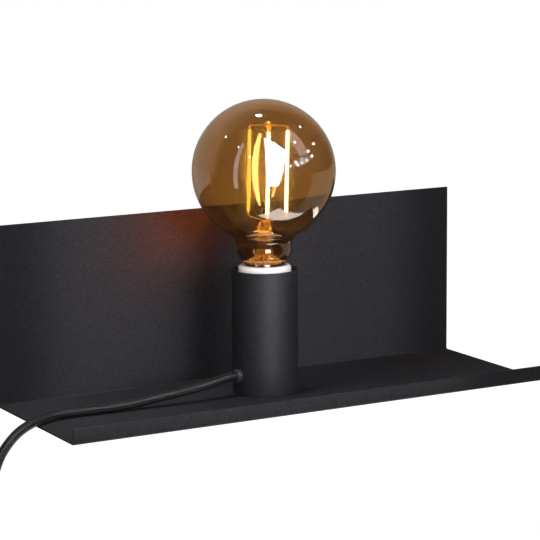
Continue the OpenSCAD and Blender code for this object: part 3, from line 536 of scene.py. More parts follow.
ENDS_FROM_TO, END_ROUGH, END_PAINTED_SHADE = (0.112, 0.168), 0.34, 0.3  # metres from the middle over which the ends set in, the roughness they add, and the factor of their painted shade on the colour
LIP_END_SHIFT = 0.03  # on the lip the rougher end and its painted shade begin this much nearer the middle
POWDER = powder_coat("powder_coat_black", 0.50, 0.64, 0.5)
POST_POWDER = powder_coat("powder_coat_black_post", 0.40, 0.54, 0.95)
ZINC = zinc_plate()
PORCELAIN = glazed_porcelain()
BRASS = bright_metal("drawn_brass", "#a8843f", "#c9a458", 0.22, 0.4, 0.006)
NICKEL = bright_metal("nickel_plate", "#b3aea5", "#cdc9c1", 0.12, 0.28, 0.008)
WARM_WIRE = bright_metal("nickel_iron_wire", "#a9936a", "#c8b283", 0.25, 0.4, 0.002, glow=2.2)
AMBER = blown_glass("amber_coated_glass", "#b39260", "#d3a560", 1.9, 0.045, "#f0b070")
STEM_GLASS = pressed_glass()
PHOSPHOR = lit_phosphor("lit_phosphor", "#fff0d2", "#fff07c", 180.0, 2.8)
BRAID = textile_braid()
# moulded pieces: darker and lighter tone, roughness, grain and its depth in metres, specular level
PAD_RUBBER = moulded("epdm_rubber", "#131313", "#1f1f1f", 0.75, 0.0008, 0.00004, 0.3)
BLACK_PLASTIC = moulded("moulded_pbt_black", "#101011", "#19191b", 0.38, 0.0006, 0.00002)
SWITCH_PLASTIC = moulded("moulded_switch_black", "#121213", "#1b1b1d", 0.3, 0.0009, 0.00003)
ROCKER_PLASTIC = moulded("moulded_rocker_black", "#161617", "#202022", 0.22, 0.0009, 0.00001)
# the bush's black plastic drawn in lighter grey tones: a painted highlight
BUSH_PLASTIC_PAINTED_HIGHLIGHT = moulded("moulded_bush_painted_highlight", "#3a3a3e", "#47474c", 0.30, 0.0008, 0.00002, 0.6)
BLACK_GLASS = moulded("vitrite_black", "#0d0b10", "#17141c", 0.12, 0.002, 0.00001, 0.6)
BOARD = moulded("solder_mask_green", "#1f5a38", "#2b7048", 0.35, 0.001, 0.00002)
BROWN_PVC = moulded("pvc_brown", "#5a3520", "#6b4128", 0.4, 0.001, 0.00001)
BLUE_PVC = moulded("pvc_blue", "#2d62a3", "#3c74b8", 0.4, 0.001, 0.00001)
STRAP = moulded("silicone_strap_grey", "#252527", "#303033", 0.6, 0.0007, 0.00003, 0.35)


# ---- cords


def cord_route():
    """Route of the cord from the bush over the shelf's left edge to the switch, as in the source."""
    tip = BUSH + BUSH_FACE * BUSH_DIR
    rest = [
        (-43, -63.8, -66.5), (-50, -64.2, -67.8), (-61, -64.3, -69.4), (-72, -64.1, -70.7),
        (-86, -63.5, -72.4), (-100, -62.8, -74.1), (-113, -62.4, -75.1), (-126, -62.2, -75.3),
        (-138, -61.8, -75.3), (-148, -61.5, -75.3), (-156, -62, -75.3), (-162, -63.3, -75.3),
        (-168.5, -66.2, -75.3), (-175, -70.2, -75.3), (-181, -74.2, -75.8), (-187, -77.4, -77),
        (-193, -79.8, -79.4), (-199.5, -81.9, -84), (-205.5, -83.4, -90.5), (-210, -84.5, -99),
        (-213, -85.3, -109), (-214.5, -85.8, -120), (-215, -86, -132), (-215, -86, -143),
        (-215, -86, -158.5)
    ]
    return np.vstack([tip, tip + CORD_D * BUSH_DIR, rest])


COIL = np.array([-190.0, -86.0, -271.0])
COIL_INNER, COIL_STEP, COIL_TURNS, COIL_DIP = 27.5, 7.2, 2.625, 0.8
PLUG_TOP = np.array([-232.0, -101.0, -262.0])


def coil_line(per_turn=64):
    """Centreline of the coil: the radius falls by COIL_STEP a turn in the rear layer, dips by a sine
    through the half turn in which the depth crosses over as a cosine, and grows again in front."""
    layer = 360 * COIL_TURNS
    climb = layer + 180
    end = climb + layer
    outer = COIL_INNER + COIL_STEP * COIL_TURNS
    a = np.linspace(0, end, int(end / 360 * per_turn) + 1)
    r = np.where(a < layer, outer - COIL_STEP * a / 360,
                 np.where(a < climb, COIL_INNER - COIL_DIP * np.sin(np.radians(a - layer)),
                          COIL_INNER + COIL_STEP * (a - climb) / 360))
    y = np.where(a < layer, COIL_STEP / 2,
                 np.where(a < climb, COIL_STEP / 2 * np.cos(np.radians(a - layer)), -COIL_STEP / 2))
    t = np.radians(180 + a)
    return COIL + np.stack([r * np.cos(t), y, r * np.sin(t)], 1)


def spare_route():
    """Route from the switch into the coil, through it, and out to the plug."""
    turns = coil_line()
    first = turns[0] + [0, 0, CORD_D]
    last = turns[-1] - [CORD_D, 0, 0]
    lead = curve_through([
        (-215, -86, -208.5), (-215, -86, -216), (-216.2, -85.8, -223.5), (-219.7, -85, -231),
        (-225.4, -84, -238), (-230.9, -83.1, -245), (-234.8, -82.6, -252.5), first + [0, 0, 5], first
    ], 6)
    tail = curve_through([
        last, last - [3, 0, 0], (-207.7, -90.4, -225.7), (-215.6, -92.4, -229), (-222.4, -95.3, -234.2),
        (-227.6, -98.2, -241), (-230.9, -100.2, -248.9), PLUG_TOP + [0, 0, 4.6], PLUG_TOP
    ], 6)
    return np.concatenate([lead[:-1], [first], turns, [last], tail[1:]])


run_path = even(curve_through(cord_route(), 8), 1.2)
cord_to_switch = Piece("cord_to_switch", "cord_run", "textile_cord").grid(
    swept(run_path, CORD_R, 28), BRAID, uv_length=1.5
).make()

spare_path = even(spare_route(), 1.6)
cord_to_plug = Piece("cord_to_plug", "cord_link cord_coil cord_tail", "textile_cord").grid(
    swept(spare_path, CORD_R, 20), BRAID, uv_length=1.5
).make()


# ---- folded sheet and post


def shelf_sheet():
    """The folded sheet: its section in Y and Z, with round bends and edges rounded by the coat, drawn
    out along X."""
    edge, bend_out, bend_in = 0.4, 2.5, 1.0
    section = softened([
        (PLATE_FRONT, PLATE_TOP, edge), (PLATE_BACK, PLATE_TOP, edge), (PLATE_BACK, SHELF_UNDER, bend_out),
        (LIP_FRONT, SHELF_UNDER, bend_out), (LIP_FRONT, LIP_TOP, edge), (LIP_BACK, LIP_TOP, edge),
        (LIP_BACK, SHELF_TOP, bend_in), (PLATE_FRONT, SHELF_TOP, bend_in)
    ], steps=8)
    solid = drawn_out(section, -HALF_WIDTH, HALF_WIDTH, edge)[..., [2, 0, 1]]
    return Piece("shelf_sheet", "shelf_plate", "black_powder").grid(solid, POWDER).make(50)


def post_tube():
    """Tube on the shelf: a wall of 1.2 mm turned round the post's axis, with burr-free round rims."""
    wall = softened([
        (TUBE_IN_R, 0, 0.2), (TUBE_R, 0, 0.3), (TUBE_R, TUBE_H, 0.45), (TUBE_IN_R, TUBE_H, 0.45)
    ])
    return Piece("post_tube", "socket_tube", "black_powder").turned(wall, POST_POWDER, 160).make(50)


def porcelain_holder():
    """Lampholder body: a closed section turned round the post's axis, with two bosses for its screws
    in the chamber below."""
    section = softened([
        (0, 48, 0), (14.95, 48, 0.6), (14.95, 40, 0.3), (16.75, 40, 0.5), (16.75, 70, 0.5),
        (17.75, 70.6, 0.5), (17.75, 86, 2.8), (14.75, 86, 0.6), (14.75, 80, 0.2), (14.55, 79.8, 0.2),
        (14.55, 57, 0.3), (11.45, 57, 0.3), (11.45, 55, 0.3), (0, 55, 0)
    ], steps=10)
    p = Piece("porcelain_holder", "holder_body", "porcelain")
    p.turned(section, PORCELAIN, 128)
    for side in (-1, 1):
        ring = softened([(1.55, 48.2, 0), (3.2, 48.2, 0), (3.2, 40, 0.3), (1.55, 40, 0.3)])
        p.turned(ring, PORCELAIN, 32, centre=POST + [0, side * 11.95, 0])
    return p.make(40)


def cord_bush():
    """Bush in the tube's side: a flange with a round outer rim, its sleeve and its bore."""
    section = softened([
        (3.2, 14.8, 0.2), (3.8, 14.8, 0.2), (3.8, 21.9, 0), (4.7, 21.9, 0.2), (4.7, BUSH_FACE, 1.5),
        (3.2, BUSH_FACE, 0.35)
    ], steps=10)
    p = Piece("cord_bush_dome", "cord_bush", "black_plastic")
    return p.turned(section, BUSH_PLASTIC_PAINTED_HIGHLIGHT, 64, centre=BUSH, axis=BUSH_DIR, across=(0, 0, 1)).make(50)


shelf_sheet()
post_tube()
porcelain_holder()
cord_bush()


# ---- bulb

CAP_RIM = 87.5
GLOBE_R, GLOBE_Z, GLASS_WALL = 47.5, 148.0, 0.8
NECK_R, NECK_TOP, FILLET = 18.4, 98.0, 10.0
FOOT_R, FOOT_ROUND = 13.4, 11.0
STEM_TOP = 114.5
CAGE_LEAN, CAGE_TURN, CAGE_OFF = 1.5, -29, np.array([1.7, -0.9, 0.0])
CAGE_LOW, CAGE_HIGH, CAGE_R = 118.5, 177.5, 12.5
FILAMENT_LOW, FILAMENT_HIGH, FILAMENT_R = 121.0, 175.0, 1.0
WIRE_R = 0.17
THREAD_ROOT, THREAD_CREST, THREAD_PITCH = 12.2, 0.88, 3.62
THREAD_LOW, THREAD_HIGH, THREAD_FADE = 65.6, 84.0, 1.6
CAP_LOW, SHOULDER_H, SHOULDER_R = 63.6, 1.8, 9.7
COLLAR_LOW, COLLAR_R, CAP_SKIN = 83.9, 13.78, 0.35
FACING = (-90, 90, 90, -90)  # where each filament's chips face in the cage's own plan, in degrees


def globe_profile(inset):
    """Half outline of the globe from its top: an arc of the globe, the hollow curve that touches it
    and the neck, the neck and its round foot. inset moves the whole line inwards."""
    r, fillet = GLOBE_R - inset, FILLET + inset
    touch = math.asin((NECK_R + FILLET) / (GLOBE_R + FILLET))
    globe_z = NECK_TOP + math.sqrt((GLOBE_R + FILLET) ** 2 - (NECK_R + FILLET) ** 2)
    a = np.linspace(0, np.pi - touch, 90)
    top = np.stack([r * np.sin(a), globe_z + r * np.cos(a)], 1)
    b = np.linspace(np.pi / 2 - touch, 0, 24)[1:]
    curve = np.stack([NECK_R + FILLET - fillet * np.cos(b), NECK_TOP + fillet * np.sin(b)], 1)
    foot_z = CAP_RIM + math.sqrt(FOOT_ROUND**2 - (FOOT_R - NECK_R + FOOT_ROUND) ** 2)
    c = np.linspace(0, -math.asin((foot_z - CAP_RIM) / FOOT_ROUND), 20)
    arc = (FOOT_ROUND - inset) * np.stack([np.cos(c), np.sin(c)], 1)
    foot = arc + [NECK_R - FOOT_ROUND, foot_z]
    end = np.array([[FOOT_R - inset, CAP_RIM], [FOOT_R - inset, CAP_RIM - 2.5]])
    foot = foot[foot[:, 0] > FOOT_R - inset]
    return np.concatenate([top, curve, foot, end])


def globe_glass():
    """Globe: outer line down, inner line back up, turned round the post's axis."""
    line = np.concatenate([globe_profile(0.0), globe_profile(GLASS_WALL)[::-1]])
    return Piece("globe_glass", "bulb_glass", "amber_glass", "bulb").turned(line, AMBER, 192).make(60)


def heading(degrees):
    """Unit vector level with the floor, turned from +X."""
    a = math.radians(degrees)
    return np.array([math.cos(a), math.sin(a), 0])


def in_cage(points):
    """Points of the cage of filaments: leaned about Y and turned about Z, both about the stem's top,
    and moved to their place off the bulb's axis."""
    lean = Matrix.Rotation(math.radians(CAGE_LEAN), 3, "Y")
    both = np.array(Matrix.Rotation(math.radians(CAGE_TURN), 3, "Z") @ lean)
    pivot = np.array([0, 0, STEM_TOP])
    return (points - pivot) @ both.T + POST + CAGE_OFF + pivot


def stem():
    """Stem: a hollow tube with its flare pressed down to the neck and a domed top, then a rod up to a
    bead that holds the upper wires."""
    line = softened([
        (0, 108.8, 0), (4.2, 108.8, 2.0), (4.2, 92, 4), (10.8, 86.0, 0.3), (12.55, 86.0, 0.3),
        (12.55, 87.0, 0.4), (6.2, 91.5, 4), (5, 97, 4), (5, STEM_TOP, 4.2), (0, STEM_TOP, 0)
    ], steps=8)
    p = Piece("stem_glass", "bulb_stem", "stem_glass", "bulb")
    p.turned(line, STEM_GLASS, 64)
    rod = softened([(0, 113.2, 0), (1.2, 113.2, 0.3), (1.2, 176.0, 0.8), (0, 176.6, 0)])
    p.grid(in_cage(turned(rod, 24, centre=np.zeros(3))), STEM_GLASS, ends=False)
    a = np.linspace(0, np.pi, 20)
    bead = np.stack([2.6 * np.sin(a), 178.5 - 2.6 * np.cos(a)], 1)
    p.grid(in_cage(turned(bead, 32, centre=np.zeros(3))), STEM_GLASS, ends=False)
    return p.make(60)


def filament(number, facing):
    """Filament: a rod with round ends, its UV counted from the side on which the chips face, and a
    flat tab at each end."""
    place = CAGE_R * heading(90 * (number - 1))
    rod = softened([
        (0, FILAMENT_LOW, 0), (FILAMENT_R, FILAMENT_LOW, 0.6), (FILAMENT_R, FILAMENT_HIGH, 0.6),
        (0, FILAMENT_HIGH, 0)
    ])
    p = Piece("lit_filament_%d" % number, "bulb_filament_%d" % number, "filament", "bulb")
    p.grid(in_cage(turned(rod, 32, centre=place, across=heading(facing))), PHOSPHOR, ends=False)
    tab = box_outline(0.8, 0.3, 0.05, steps=3)
    for low, high in ((CAGE_LOW, FILAMENT_LOW + 0.2), (FILAMENT_HIGH - 0.2, CAGE_HIGH)):
        p.grid(in_cage(drawn_out(tab, low, high, 0.04, 1) + place), WARM_WIRE)
    return p.make(60)


def wires(name, node, start, end):
    """Four straight round wires from the middle out to the filaments."""
    p = Piece(name, node, "warm_wire", "bulb")
    t = np.linspace(0, 1, 14)[:, None]
    line = np.array(start) * (1 - t) + np.array(end) * t
    for k in range(4):
        turn = np.array(Matrix.Rotation(math.radians(90 * k), 3, "Z"))
        p.grid(in_cage(swept(line @ turn.T, WIRE_R, 10, (0, 0, 1))), WARM_WIRE)
    return p.make(60)


def screw_cap():
    """Screw cap: a skin whose radius is the root plus a rounded thread that climbs its pitch a turn,
    faded out at both ends, with a plain collar above and a shoulder below."""
    z = np.linspace(CAP_LOW + 0.05, CAP_RIM - 0.02, 150)
    t = np.linspace(0, 2 * np.pi, 120, endpoint=False)
    zz, tt = np.meshgrid(z, t, indexing="ij")
    fade = np.clip((zz - THREAD_LOW) / THREAD_FADE, 0, 1) * np.clip((THREAD_HIGH - zz) / THREAD_FADE, 0, 1)
    wave = 0.5 + 0.5 * np.cos(2 * np.pi * (zz - 67) / THREAD_PITCH - tt)
    r = THREAD_ROOT + THREAD_CREST * fade * wave**0.8
    shoulder = np.sqrt(np.clip((zz - CAP_LOW) / SHOULDER_H, 0, 1))
    r = np.where(zz < CAP_LOW + SHOULDER_H, SHOULDER_R + (THREAD_ROOT - SHOULDER_R) * shoulder, r)
    collar = np.clip(zz - COLLAR_LOW, 0, 1)
    r = r + (COLLAR_R - THREAD_ROOT) * collar * collar * (3 - 2 * collar)
    outer, inner = (POST + np.stack([s * np.cos(tt), s * np.sin(tt), zz], 2) for s in (r, r - CAP_SKIN))
    p = Piece("screw_cap", "bulb_cap", "nickel", "bulb")
    return p.grid(np.concatenate([outer, inner[::-1], outer[:1]]), NICKEL, ends=False).make(60)


def cap_foot():
    """Black glass insulator under the cap, turned with a hollow flank."""
    line = softened([(1, 61.75, 0.2), (5.6, 61.75, 0.5), (9.6, 63.5, 0.3), (9.3, 64.8, 0), (1, 64.8, 0)])
    p = Piece("cap_insulator_glass", "cap_insulator", "black_plastic", "bulb")
    return p.turned(line, BLACK_GLASS, 64).make(50)


globe_glass()
stem()
for number, facing in enumerate(FACING, 1):
    filament(number, facing)
wires("upper_wires_arc", "upper_wires", (2.5, 0, 178.5), (12.8, 0, 177.75))
wires("lower_wires_arc", "lower_wires", (1.35, 0, 114.8), (12.8, 0, 118.2))
screw_cap()
cap_foot()


# ---- switch and plug

SWITCH = np.array([-215.0, -86.0, -183.5])
SWITCH_W, SWITCH_H, SWITCH_HALF_D = 27, 62, 10
SPLIT = 0.12  # half the gap between its two shells
ROCKER_TILT, ROCKER_AXIS = math.radians(8.3), SWITCH + [0, -5.5, 0]


def switch_shell(name, node, front):
    """Half shell of the in-line switch. Round-cornered outlines are stacked from the split to the
    face, drawn in over a round edge. The front shell has the rocker's window and is hollow behind it,
    and the back shell's face closes in a slit."""
    edge = 3.2
    a = np.linspace(0, np.pi / 2, 9)[1:]
    levels = [(SPLIT, 0.35), (SPLIT + 0.25, 0.0), (SWITCH_HALF_D - edge, 0.0)]
    levels += [(SWITCH_HALF_D - edge + edge * math.sin(x), edge * (1 - math.cos(x))) for x in a]
    rows = [at_height(box_outline(SWITCH_W - 2 * d, SWITCH_H - 2 * d, 8 - d * 0.8), y) for y, d in levels]
    if front:
        rows.append(at_height(box_outline(17, 26, 3.0), SWITCH_HALF_D))
        window = [(SWITCH_HALF_D, 0.35), (SWITCH_HALF_D - 0.35, 0.0), (SWITCH_HALF_D - 2, 0.0)]
        rows += [at_height(box_outline(12.8 + 2 * d, 21.6 + 2 * d, 0.8), y) for y, d in window]
        rows += [at_height(box_outline(23, 58, 6), y) for y in (SWITCH_HALF_D - 2, SPLIT)]
        rows.append(rows[0])
    else:
        rows.append(at_height(box_outline(2, 37, 0.9), SWITCH_HALF_D))
    shell = np.stack(rows)[..., [0, 2, 1]] * [1, -1 if front else 1, 1] + SWITCH
    return Piece(name, node, "black_plastic").grid(shell, SWITCH_PLASTIC, ends=not front).make(40)


def switch_rocker():
    """Rocker: its side view is a shallow V on a round bar, drawn out to 12 mm with round edges and
    tipped, on a pin that turns in the front shell."""
    crown, flank, back, reach = 4.7, 10.25, 1.9, 10.35
    low = -crown - flank * math.tan(ROCKER_TILT)
    section = softened([
        (-crown, 0, 6), (low, flank, 0.8), (back, flank * 0.98, 0.8), (back, -flank * 0.98, 0.8),
        (low, -flank, 0.8)
    ], steps=8)
    section = section * np.minimum(1, reach / np.hypot(*section.T))[:, None]
    g = drawn_out(section, -6, 6, 0.5, 5)
    cos, sin = math.cos(ROCKER_TILT), math.sin(ROCKER_TILT)
    key = np.stack([g[..., 2], g[..., 0] * cos - g[..., 1] * sin, g[..., 0] * sin + g[..., 1] * cos], -1)
    p = Piece("rocker_key", "switch_rocker", "black_plastic", "switch_rocker")
    p.grid(key + ROCKER_AXIS, ROCKER_PLASTIC)
    pin = softened([(0, -8, 0), (1.25, -8, 0.2), (1.25, 8, 0.2), (0, 8, 0)])
    p.turned(pin, ROCKER_PLASTIC, 24, centre=ROCKER_AXIS, axis=(1, 0, 0), across=(0, 0, 1))
    return p.make(40)


def plug():
    """Flat two-pole plug: ovals carried down from the ribbed sleeve on the cord to the flat face, with
    widths and depths that follow the moulding's outline."""
    p = Piece("flat_plug", "plug_body", "black_plastic")
    down, *sizes = np.array([  # way down, width, depth and the outline's power
        (0, 7.0, 7.0, 2), (0.4, 8.0, 8.0, 2), (6, 8.8, 8.8, 2), (10, 9.6, 9.6, 2), (15, 10.6, 10.4, 2.05),
        (18.5, 12.0, 11.0, 2.15), (22, 15.4, 12.0, 2.4), (26, 21.5, 12.9, 2.8), (31, 29.0, 13.5, 3.4),
        (36, 33.6, 13.7, 4), (41, 35.1, 13.7, 4.4), (46, 35.3, 13.7, 4.6), (50, 35.2, 13.6, 4.6),
        (52.6, 34.6, 13.2, 4.6), (53.6, 33.6, 12.4, 4.6), (54.0, 32.2, 11.2, 4.6)
    ]).T
    steps = np.unique(np.concatenate([down, np.linspace(0.4, 53.6, 110)]))
    rib = np.clip(np.sin((steps - 2.5) * 2 * np.pi / 3.5), 0, 1)
    groove = np.where((steps > 2.5) & (steps < 16.5), 0.45 * rib, 0)
    rows = [at_height(oval(w - 2 * g, d - 2 * g, power, 72), -s)
            for w, d, power, s, g in zip(*(np.interp(steps, down, size) for size in sizes), steps, groove)]
    p.grid(np.stack(rows) + PLUG_TOP, BLACK_PLASTIC)
    return p.make(40)


def plug_pins():
    """Pins: bright round tips with domed ends, behind insulating sleeves."""
    foot = PLUG_TOP + [0, 0, -54]
    pins = Piece("round_pins", "plug_pins", "nickel")
    sleeves = Piece("pin_sleeves_black", "pin_sleeves", "black_plastic")
    for side in (-1, 1):
        centre = foot + [side * 9.3, 0, 0]
        tip = softened([(0, -10, 0), (2.0, -10, 0.2), (2.0, -19, 1.3), (0, -19, 0)], steps=8)
        pins.turned(tip, NICKEL, 40, centre=centre)
        band = softened([(1.35, 0, 0), (1.8, 0, 0), (1.8, -10.05, 0.2), (1.35, -10.05, 0)])
        sleeves.turned(band, BLACK_PLASTIC, 40, centre=centre)
    return pins.make(50), sleeves.make(50)


def tie_strap():
    """Strap round the turns: a rounded ring of constant wall, drawn out to 8 mm with round edges."""
    def ring(grow):
        width, depth, radius = 23.5 + 2 * grow, 14.2 + 2 * grow, 2 + grow
        return box_outline(width, depth, radius, (COIL[0] + 36.35, COIL[1]), 8)
    inner, outer = ring(0.05), ring(1.0)
    rows = [at_height(outward(outer, -d), COIL[2] + z) for z, d in ((-4, 0.3), (-3.7, 0), (3.7, 0), (4, 0.3))]
    rows += [at_height(inner, COIL[2] + z) for z in (4, -4)]
    p = Piece("tie_strap", "cord_tie", "strap_rubber")
    return p.grid(np.stack(rows + [rows[0]]), STRAP, ends=False).make(40)


base_shell = switch_shell("switch_back_shell", "switch_base", False)
cover_shell = switch_shell("switch_front_shell", "switch_cover", True)
rocker = switch_rocker()
plug_moulding = plug()
pins, sleeves = plug_pins()
strap = tie_strap()


# ---- CAD pieces that stay

kept = {
    ZINC: ["wall_bracket", "hanger_rail", "base_disc", "threaded_nipple", "nipple_nuts", "toothed_washer",
           "holder_crossbar", "holder_screws", "terminal_screws", "switch_screws"],
    PAD_RUBBER: ["wall_pads"],
    BRASS: ["screw_shell", "centre_contact", "terminal_blocks", "switch_contacts"],
    NICKEL: ["cap_contact", "lead_wires"],
    BOARD: ["bulb_driver"],
    BLACK_PLASTIC: ["bush_lock_ring"],
    BRAID: ["sheath_tail"],
    BROWN_PVC: ["live_wire"],
    BLUE_PVC: ["neutral_wire"],
}
for material, names in kept.items():
    for name in names:
        cad_nodes[name].data.materials.clear()
        cad_nodes[name].data.materials.append(material)


# ---- light and stage

COOL = "#f7f3ff"  # the lamps' slightly blue white
SHEET = ["shelf_sheet"]


def staged(name, corners, faces, material):
    """A mesh from corners in metres that belongs to the stage, not to the lamp."""
    mesh = bpy.data.meshes.new(name)
    mesh.from_pydata(corners, [], faces)
    mesh.materials.append(material)
    thing = bpy.data.objects.new(name, mesh)
    scene.collection.objects.link(thing)
    return thing


def lit_only(lamp, state, names):
    """Keeps a lamp's light to the named pieces (INCLUDE) or off them (EXCLUDE)."""
    group = bpy.data.collections.new(lamp.name + "_links")
    for name in names:
        group.objects.link(bpy.data.objects[name])
    for member in group.collection_objects:
        member.light_linking.link_state = state
    lamp.light_linking.receiver_collection = group


def softbox(name, place, target, width, height, radiance, colour=COOL):
    """Rectangular lamp at place, facing target, both in metres. Its power is radiance times pi times
    its area."""
    data = bpy.data.lights.new(name, "AREA")
    data.shape = "RECTANGLE"
    data.size, data.size_y = width, height
    data.energy = radiance * math.pi * width * height
    data.color = paint(colour)[:3]
    lamp = bpy.data.objects.new(name, data)
    scene.collection.objects.link(lamp)
    back = unit(np.array(place, float) - np.array(target, float))
    side = unit(np.cross((0, 0, 1), back))
    turn = np.eye(4)
    turn[:3] = np.column_stack([side, np.cross(back, side), back, place])
    lamp.matrix_world = Matrix(turn.tolist())
    lamp.visible_camera = False
    return lamp


def card(name, azimuth, elevation, distance, corners, strength, mirrored=0.0):
    """Glowing card at a distance from the globe, square to that direction: azimuth runs from the
    room's side to the right, and corners are (to the right, up) in its own plane, in millimetres.
    Clear mirror images of it gain the strength mirrored."""
    a, e = math.radians(azimuth), math.radians(elevation)
    back = np.array([math.sin(a) * math.cos(e), -math.cos(a) * math.cos(e), math.sin(e)])
    side = unit(np.cross((0, 0, 1), back))
    middle = POST + [0, 0, GLOBE_Z] + distance * back
    m, t, _ = blank(name)
    level = maths(t, "MULTIPLY_ADD", rays(t)["Is Singular Ray"], mirrored, strength)
    finish(m, glowing(t, level, paint(COOL)))
    c = np.array(corners, float)
    points = (middle + c[:, :1] * side + c[:, 1:] * np.cross(back, side)) * MM
    thing = staged(name, points.tolist(), [tuple(range(len(c)))], m)
    thing.visible_camera = thing.visible_shadow = False
    return thing


def glowing(tree, strength, colour=(1, 1, 1, 1)):
    """Emission of the given strength."""
    return add(tree, "Emission", None, {"Color": colour, "Strength": strength}).outputs["Emission"]


def surroundings():
    """The room round the object: dim in front and above, and brighter behind by an eased step along
    Y. What lights matt surfaces is dimmest, and gloss, clear mirror images, what is seen through
    glass and the white background are each brighter than the last."""
    world = bpy.data.worlds.new("studio")
    scene.world = world
    world.use_nodes = True
    t = world.node_tree
    t.nodes.clear()
    _, y, _ = axes(t, add(t, "TexCoord").outputs["Generated"])
    behind = spread(t, y, 0.2, 0.8, smooth=True)
    ray = rays(t)
    level = 0.06
    for kind, front, rear in (
        ("Glossy", 0.05, 0.08), ("Singular", 0.05, 0.3), ("Transmission", 0.05, 1.0), ("Camera", 1, 1)
    ):
        level = between(t, ray["Is %s Ray" % kind], level, spread(t, behind, 0, 1, front, rear))
    sky = add(t, "Background", None, {"Color": (1, 1, 1, 1), "Strength": level}).outputs["Background"]
    add(t, "OutputWorld", None, {"Surface": sky})


# the floor's straight edges: a direction, and how far the side that it points to reaches back from
# the origin, in metres
BACKDROP_EDGE = ((0.566, 0.825, 0), 0.121)
PAPER_EDGES = (
    ((-0.5245, 0.851, 0), 0.351), ((0.754, 0.657, 0), 0.260), ((-1, 0, 0), 0.652), ((0, -1, 0), 1.2),
    ((1, 0, 0), 0.15)
)
FLOOR_Z, FLOOR_HALF = -0.345, 8


def floor():
    """Pale matt floor that keeps a shadow and glows to white in the far. Gloss and glass see it dark,
    with a bright white paper in front of the shelf, where the distances from all of its edges are
    positive, and a white backdrop behind it, which mirror images show fainter."""
    m, t, place = blank("pale_floor")

    def side_of(edge):
        direction, reach = edge
        along = add(t, "VectorMath", {"operation": "DOT_PRODUCT"}, {0: place, 1: direction}).outputs["Value"]
        return spread(t, along, -reach - 0.01, -reach + 0.01)

    backdrop, paper = side_of(BACKDROP_EDGE), side_of(PAPER_EDGES[0])
    for edge in PAPER_EDGES[1:]:
        paper = maths(t, "MINIMUM", paper, side_of(edge))
    ray = rays(t)
    mirror, glass = ray["Is Singular Ray"], ray["Is Transmission Ray"]
    shiny = maths(t, "MAXIMUM", ray["Is Glossy Ray"], glass)
    shown = maths(t, "MULTIPLY", shiny, paper)
    seen = maths(t, "MAXIMUM", ray["Is Camera Ray"], shown)
    far = add(t, "VectorMath", {"operation": "LENGTH"}, {0: place}).outputs["Value"]
    fade = spread(t, far, 0.5, 1.3, 0.90, 1.0, smooth=True)
    level = maths(t, "MULTIPLY_ADD", maths(t, "MULTIPLY", mirror, shown), 2.6, fade)
    x, _, _ = axes(t, place)
    mirrored = maths(t, "MULTIPLY", mirror, spread(t, x, -0.35, -0.15, 0.4, 0.17))
    rear = maths(t, "MULTIPLY", maths(t, "MAXIMUM", glass, mirrored), backdrop)
    greys = {"Factor": shiny, 6: paint("#a8a8a8"), 7: paint("#303030")}
    grey = add(t, "Mix", {"data_type": "RGBA"}, greys).outputs[2]
    plain, lit = (
        add(t, "AddShader", None, {
            0: add(t, "BsdfDiffuse", None, {"Color": colour}).outputs["BSDF"], 1: glowing(t, strength)
        }).outputs["Shader"] for colour, strength in ((grey, rear), (paint("#a0a0a0"), level))
    )
    finish(m, shaders(t, seen, plain, lit))
    corners = [(x * FLOOR_HALF, y * FLOOR_HALF, FLOOR_Z) for x, y in CORNERS]
    staged("floor", corners, [(0, 1, 2, 3)], m)


def filament_lamp():
    """Warm light of the filaments, from the cage's middle towards the upright sheet, which shows it
    as a gloss. It leaves the glass alone, whose own halo comes from the filaments."""
    data = bpy.data.lights.new("filament_glow", "SPOT")
    data.spot_size, data.spot_blend = math.radians(64), 1.0
    data.energy = 5.8
    data.color = paint("#ffb45a")[:3]
    data.shadow_soft_size = 0.018
    lamp = bpy.data.objects.new("filament_glow", data)
    middle = POST + CAGE_OFF + [0, 0, GLOBE_Z]
    lamp.rotation_euler = Vector((GLOW_AIM - middle).tolist()).to_track_quat("-Z", "Y").to_euler()
    lamp.location = middle * MM
    lamp.visible_camera = lamp.visible_transmission = lamp.visible_diffuse = False
    scene.collection.objects.link(lamp)
    lit_only(lamp, "EXCLUDE", ["globe_glass", "stem_glass"])
    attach(lamp, "bulb")


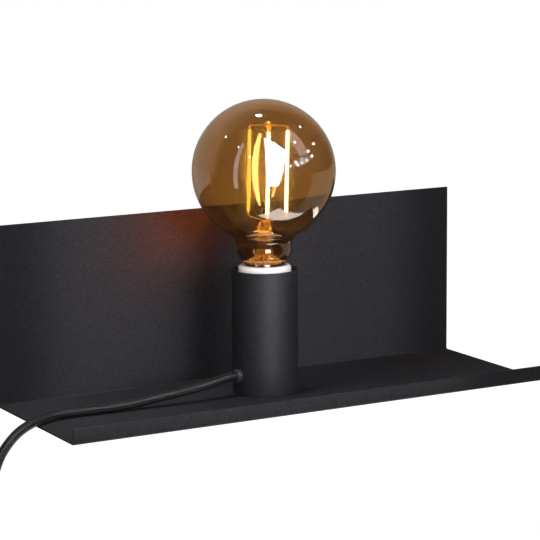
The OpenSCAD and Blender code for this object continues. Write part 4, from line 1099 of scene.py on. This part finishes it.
# small lamps of the room, which the globe shows as a string of white points: azimuth and elevation
SPOTS = (
    (88, 46), (40, 42), (56, 24), (60, 17), (37, 20), (46, 15), (25, 16), (36, 13), (15, 13), (27, 12),
    (-2, 15), (-10, -14), (-53, 28), (-80, 40), (-123, 42), (77, 26)
)
GLOW_AIM = np.array([-33.0, -6.5, 44.0])  # on the upright sheet, left of the globe

surroundings()
floor()
quad = [(-270, -1200), (130, -880), (560, 700), (-241, 1588)]
key = card("key_softbox", -13.7, 10.3, 1300, quad, 3.6, 12.0)
card("left_strip", -73.5, 2, 1150, [(-75, -1250), (75, -1250), (75, 1150), (-75, 1150)], 1.6)
card("right_softbox", 45, 40, 1500, [(-260, -480), (230, -480), (230, 480), (-260, 480)], 1.2)
softbox("top_lamp", (0.09, 0.35, 1.5), (0, -0.06, 0.05), 0.13, 0.13, 40, "#ffffff")
for n, (azimuth, elevation) in enumerate(SPOTS, 1):
    square = [(-14, -14), (14, -14), (14, 14), (-14, 14)]
    card("ceiling_spot_%d" % n, azimuth, elevation, 1500, square, 200, 400)
lit_only(key, "EXCLUDE", SHEET)
# lamps for one piece each: place, target, width, height, radiance, colour and what they light
for name, place, target, width, height, radiance, colour, names in (
    ("sheet_lamp", (0.42, -1.54, 0.17), (0, -0.06, -0.03), 0.8, 0.6, 2.9, COOL, SHEET),
    ("sheet_lamp_near", (0.06, -0.78, 0.13), (-0.12, -0.01, -0.03), 0.25, 0.25, 8.0, COOL, SHEET),
    ("cord_lamp", (0.25, -0.7, 1.2), (-0.1, -0.06, -0.05), 0.2, 0.2, 26, COOL,
     ["cord_to_switch", "cord_bush_dome"]),
    ("shelf_lamp", (-0.42, -0.12, 0.42), (-0.12, -0.03, -0.08), 0.26, 0.26, 16, COOL, SHEET),
    ("rim_lamp", (-0.5, -1.2, 0.6), (0, -0.06, 0.0), 0.4, 0.4, 22, "#ffffff", ["porcelain_holder"]),
):
    lit_only(softbox(name, place, target, width, height, radiance, colour), "INCLUDE", names)
filament_lamp()
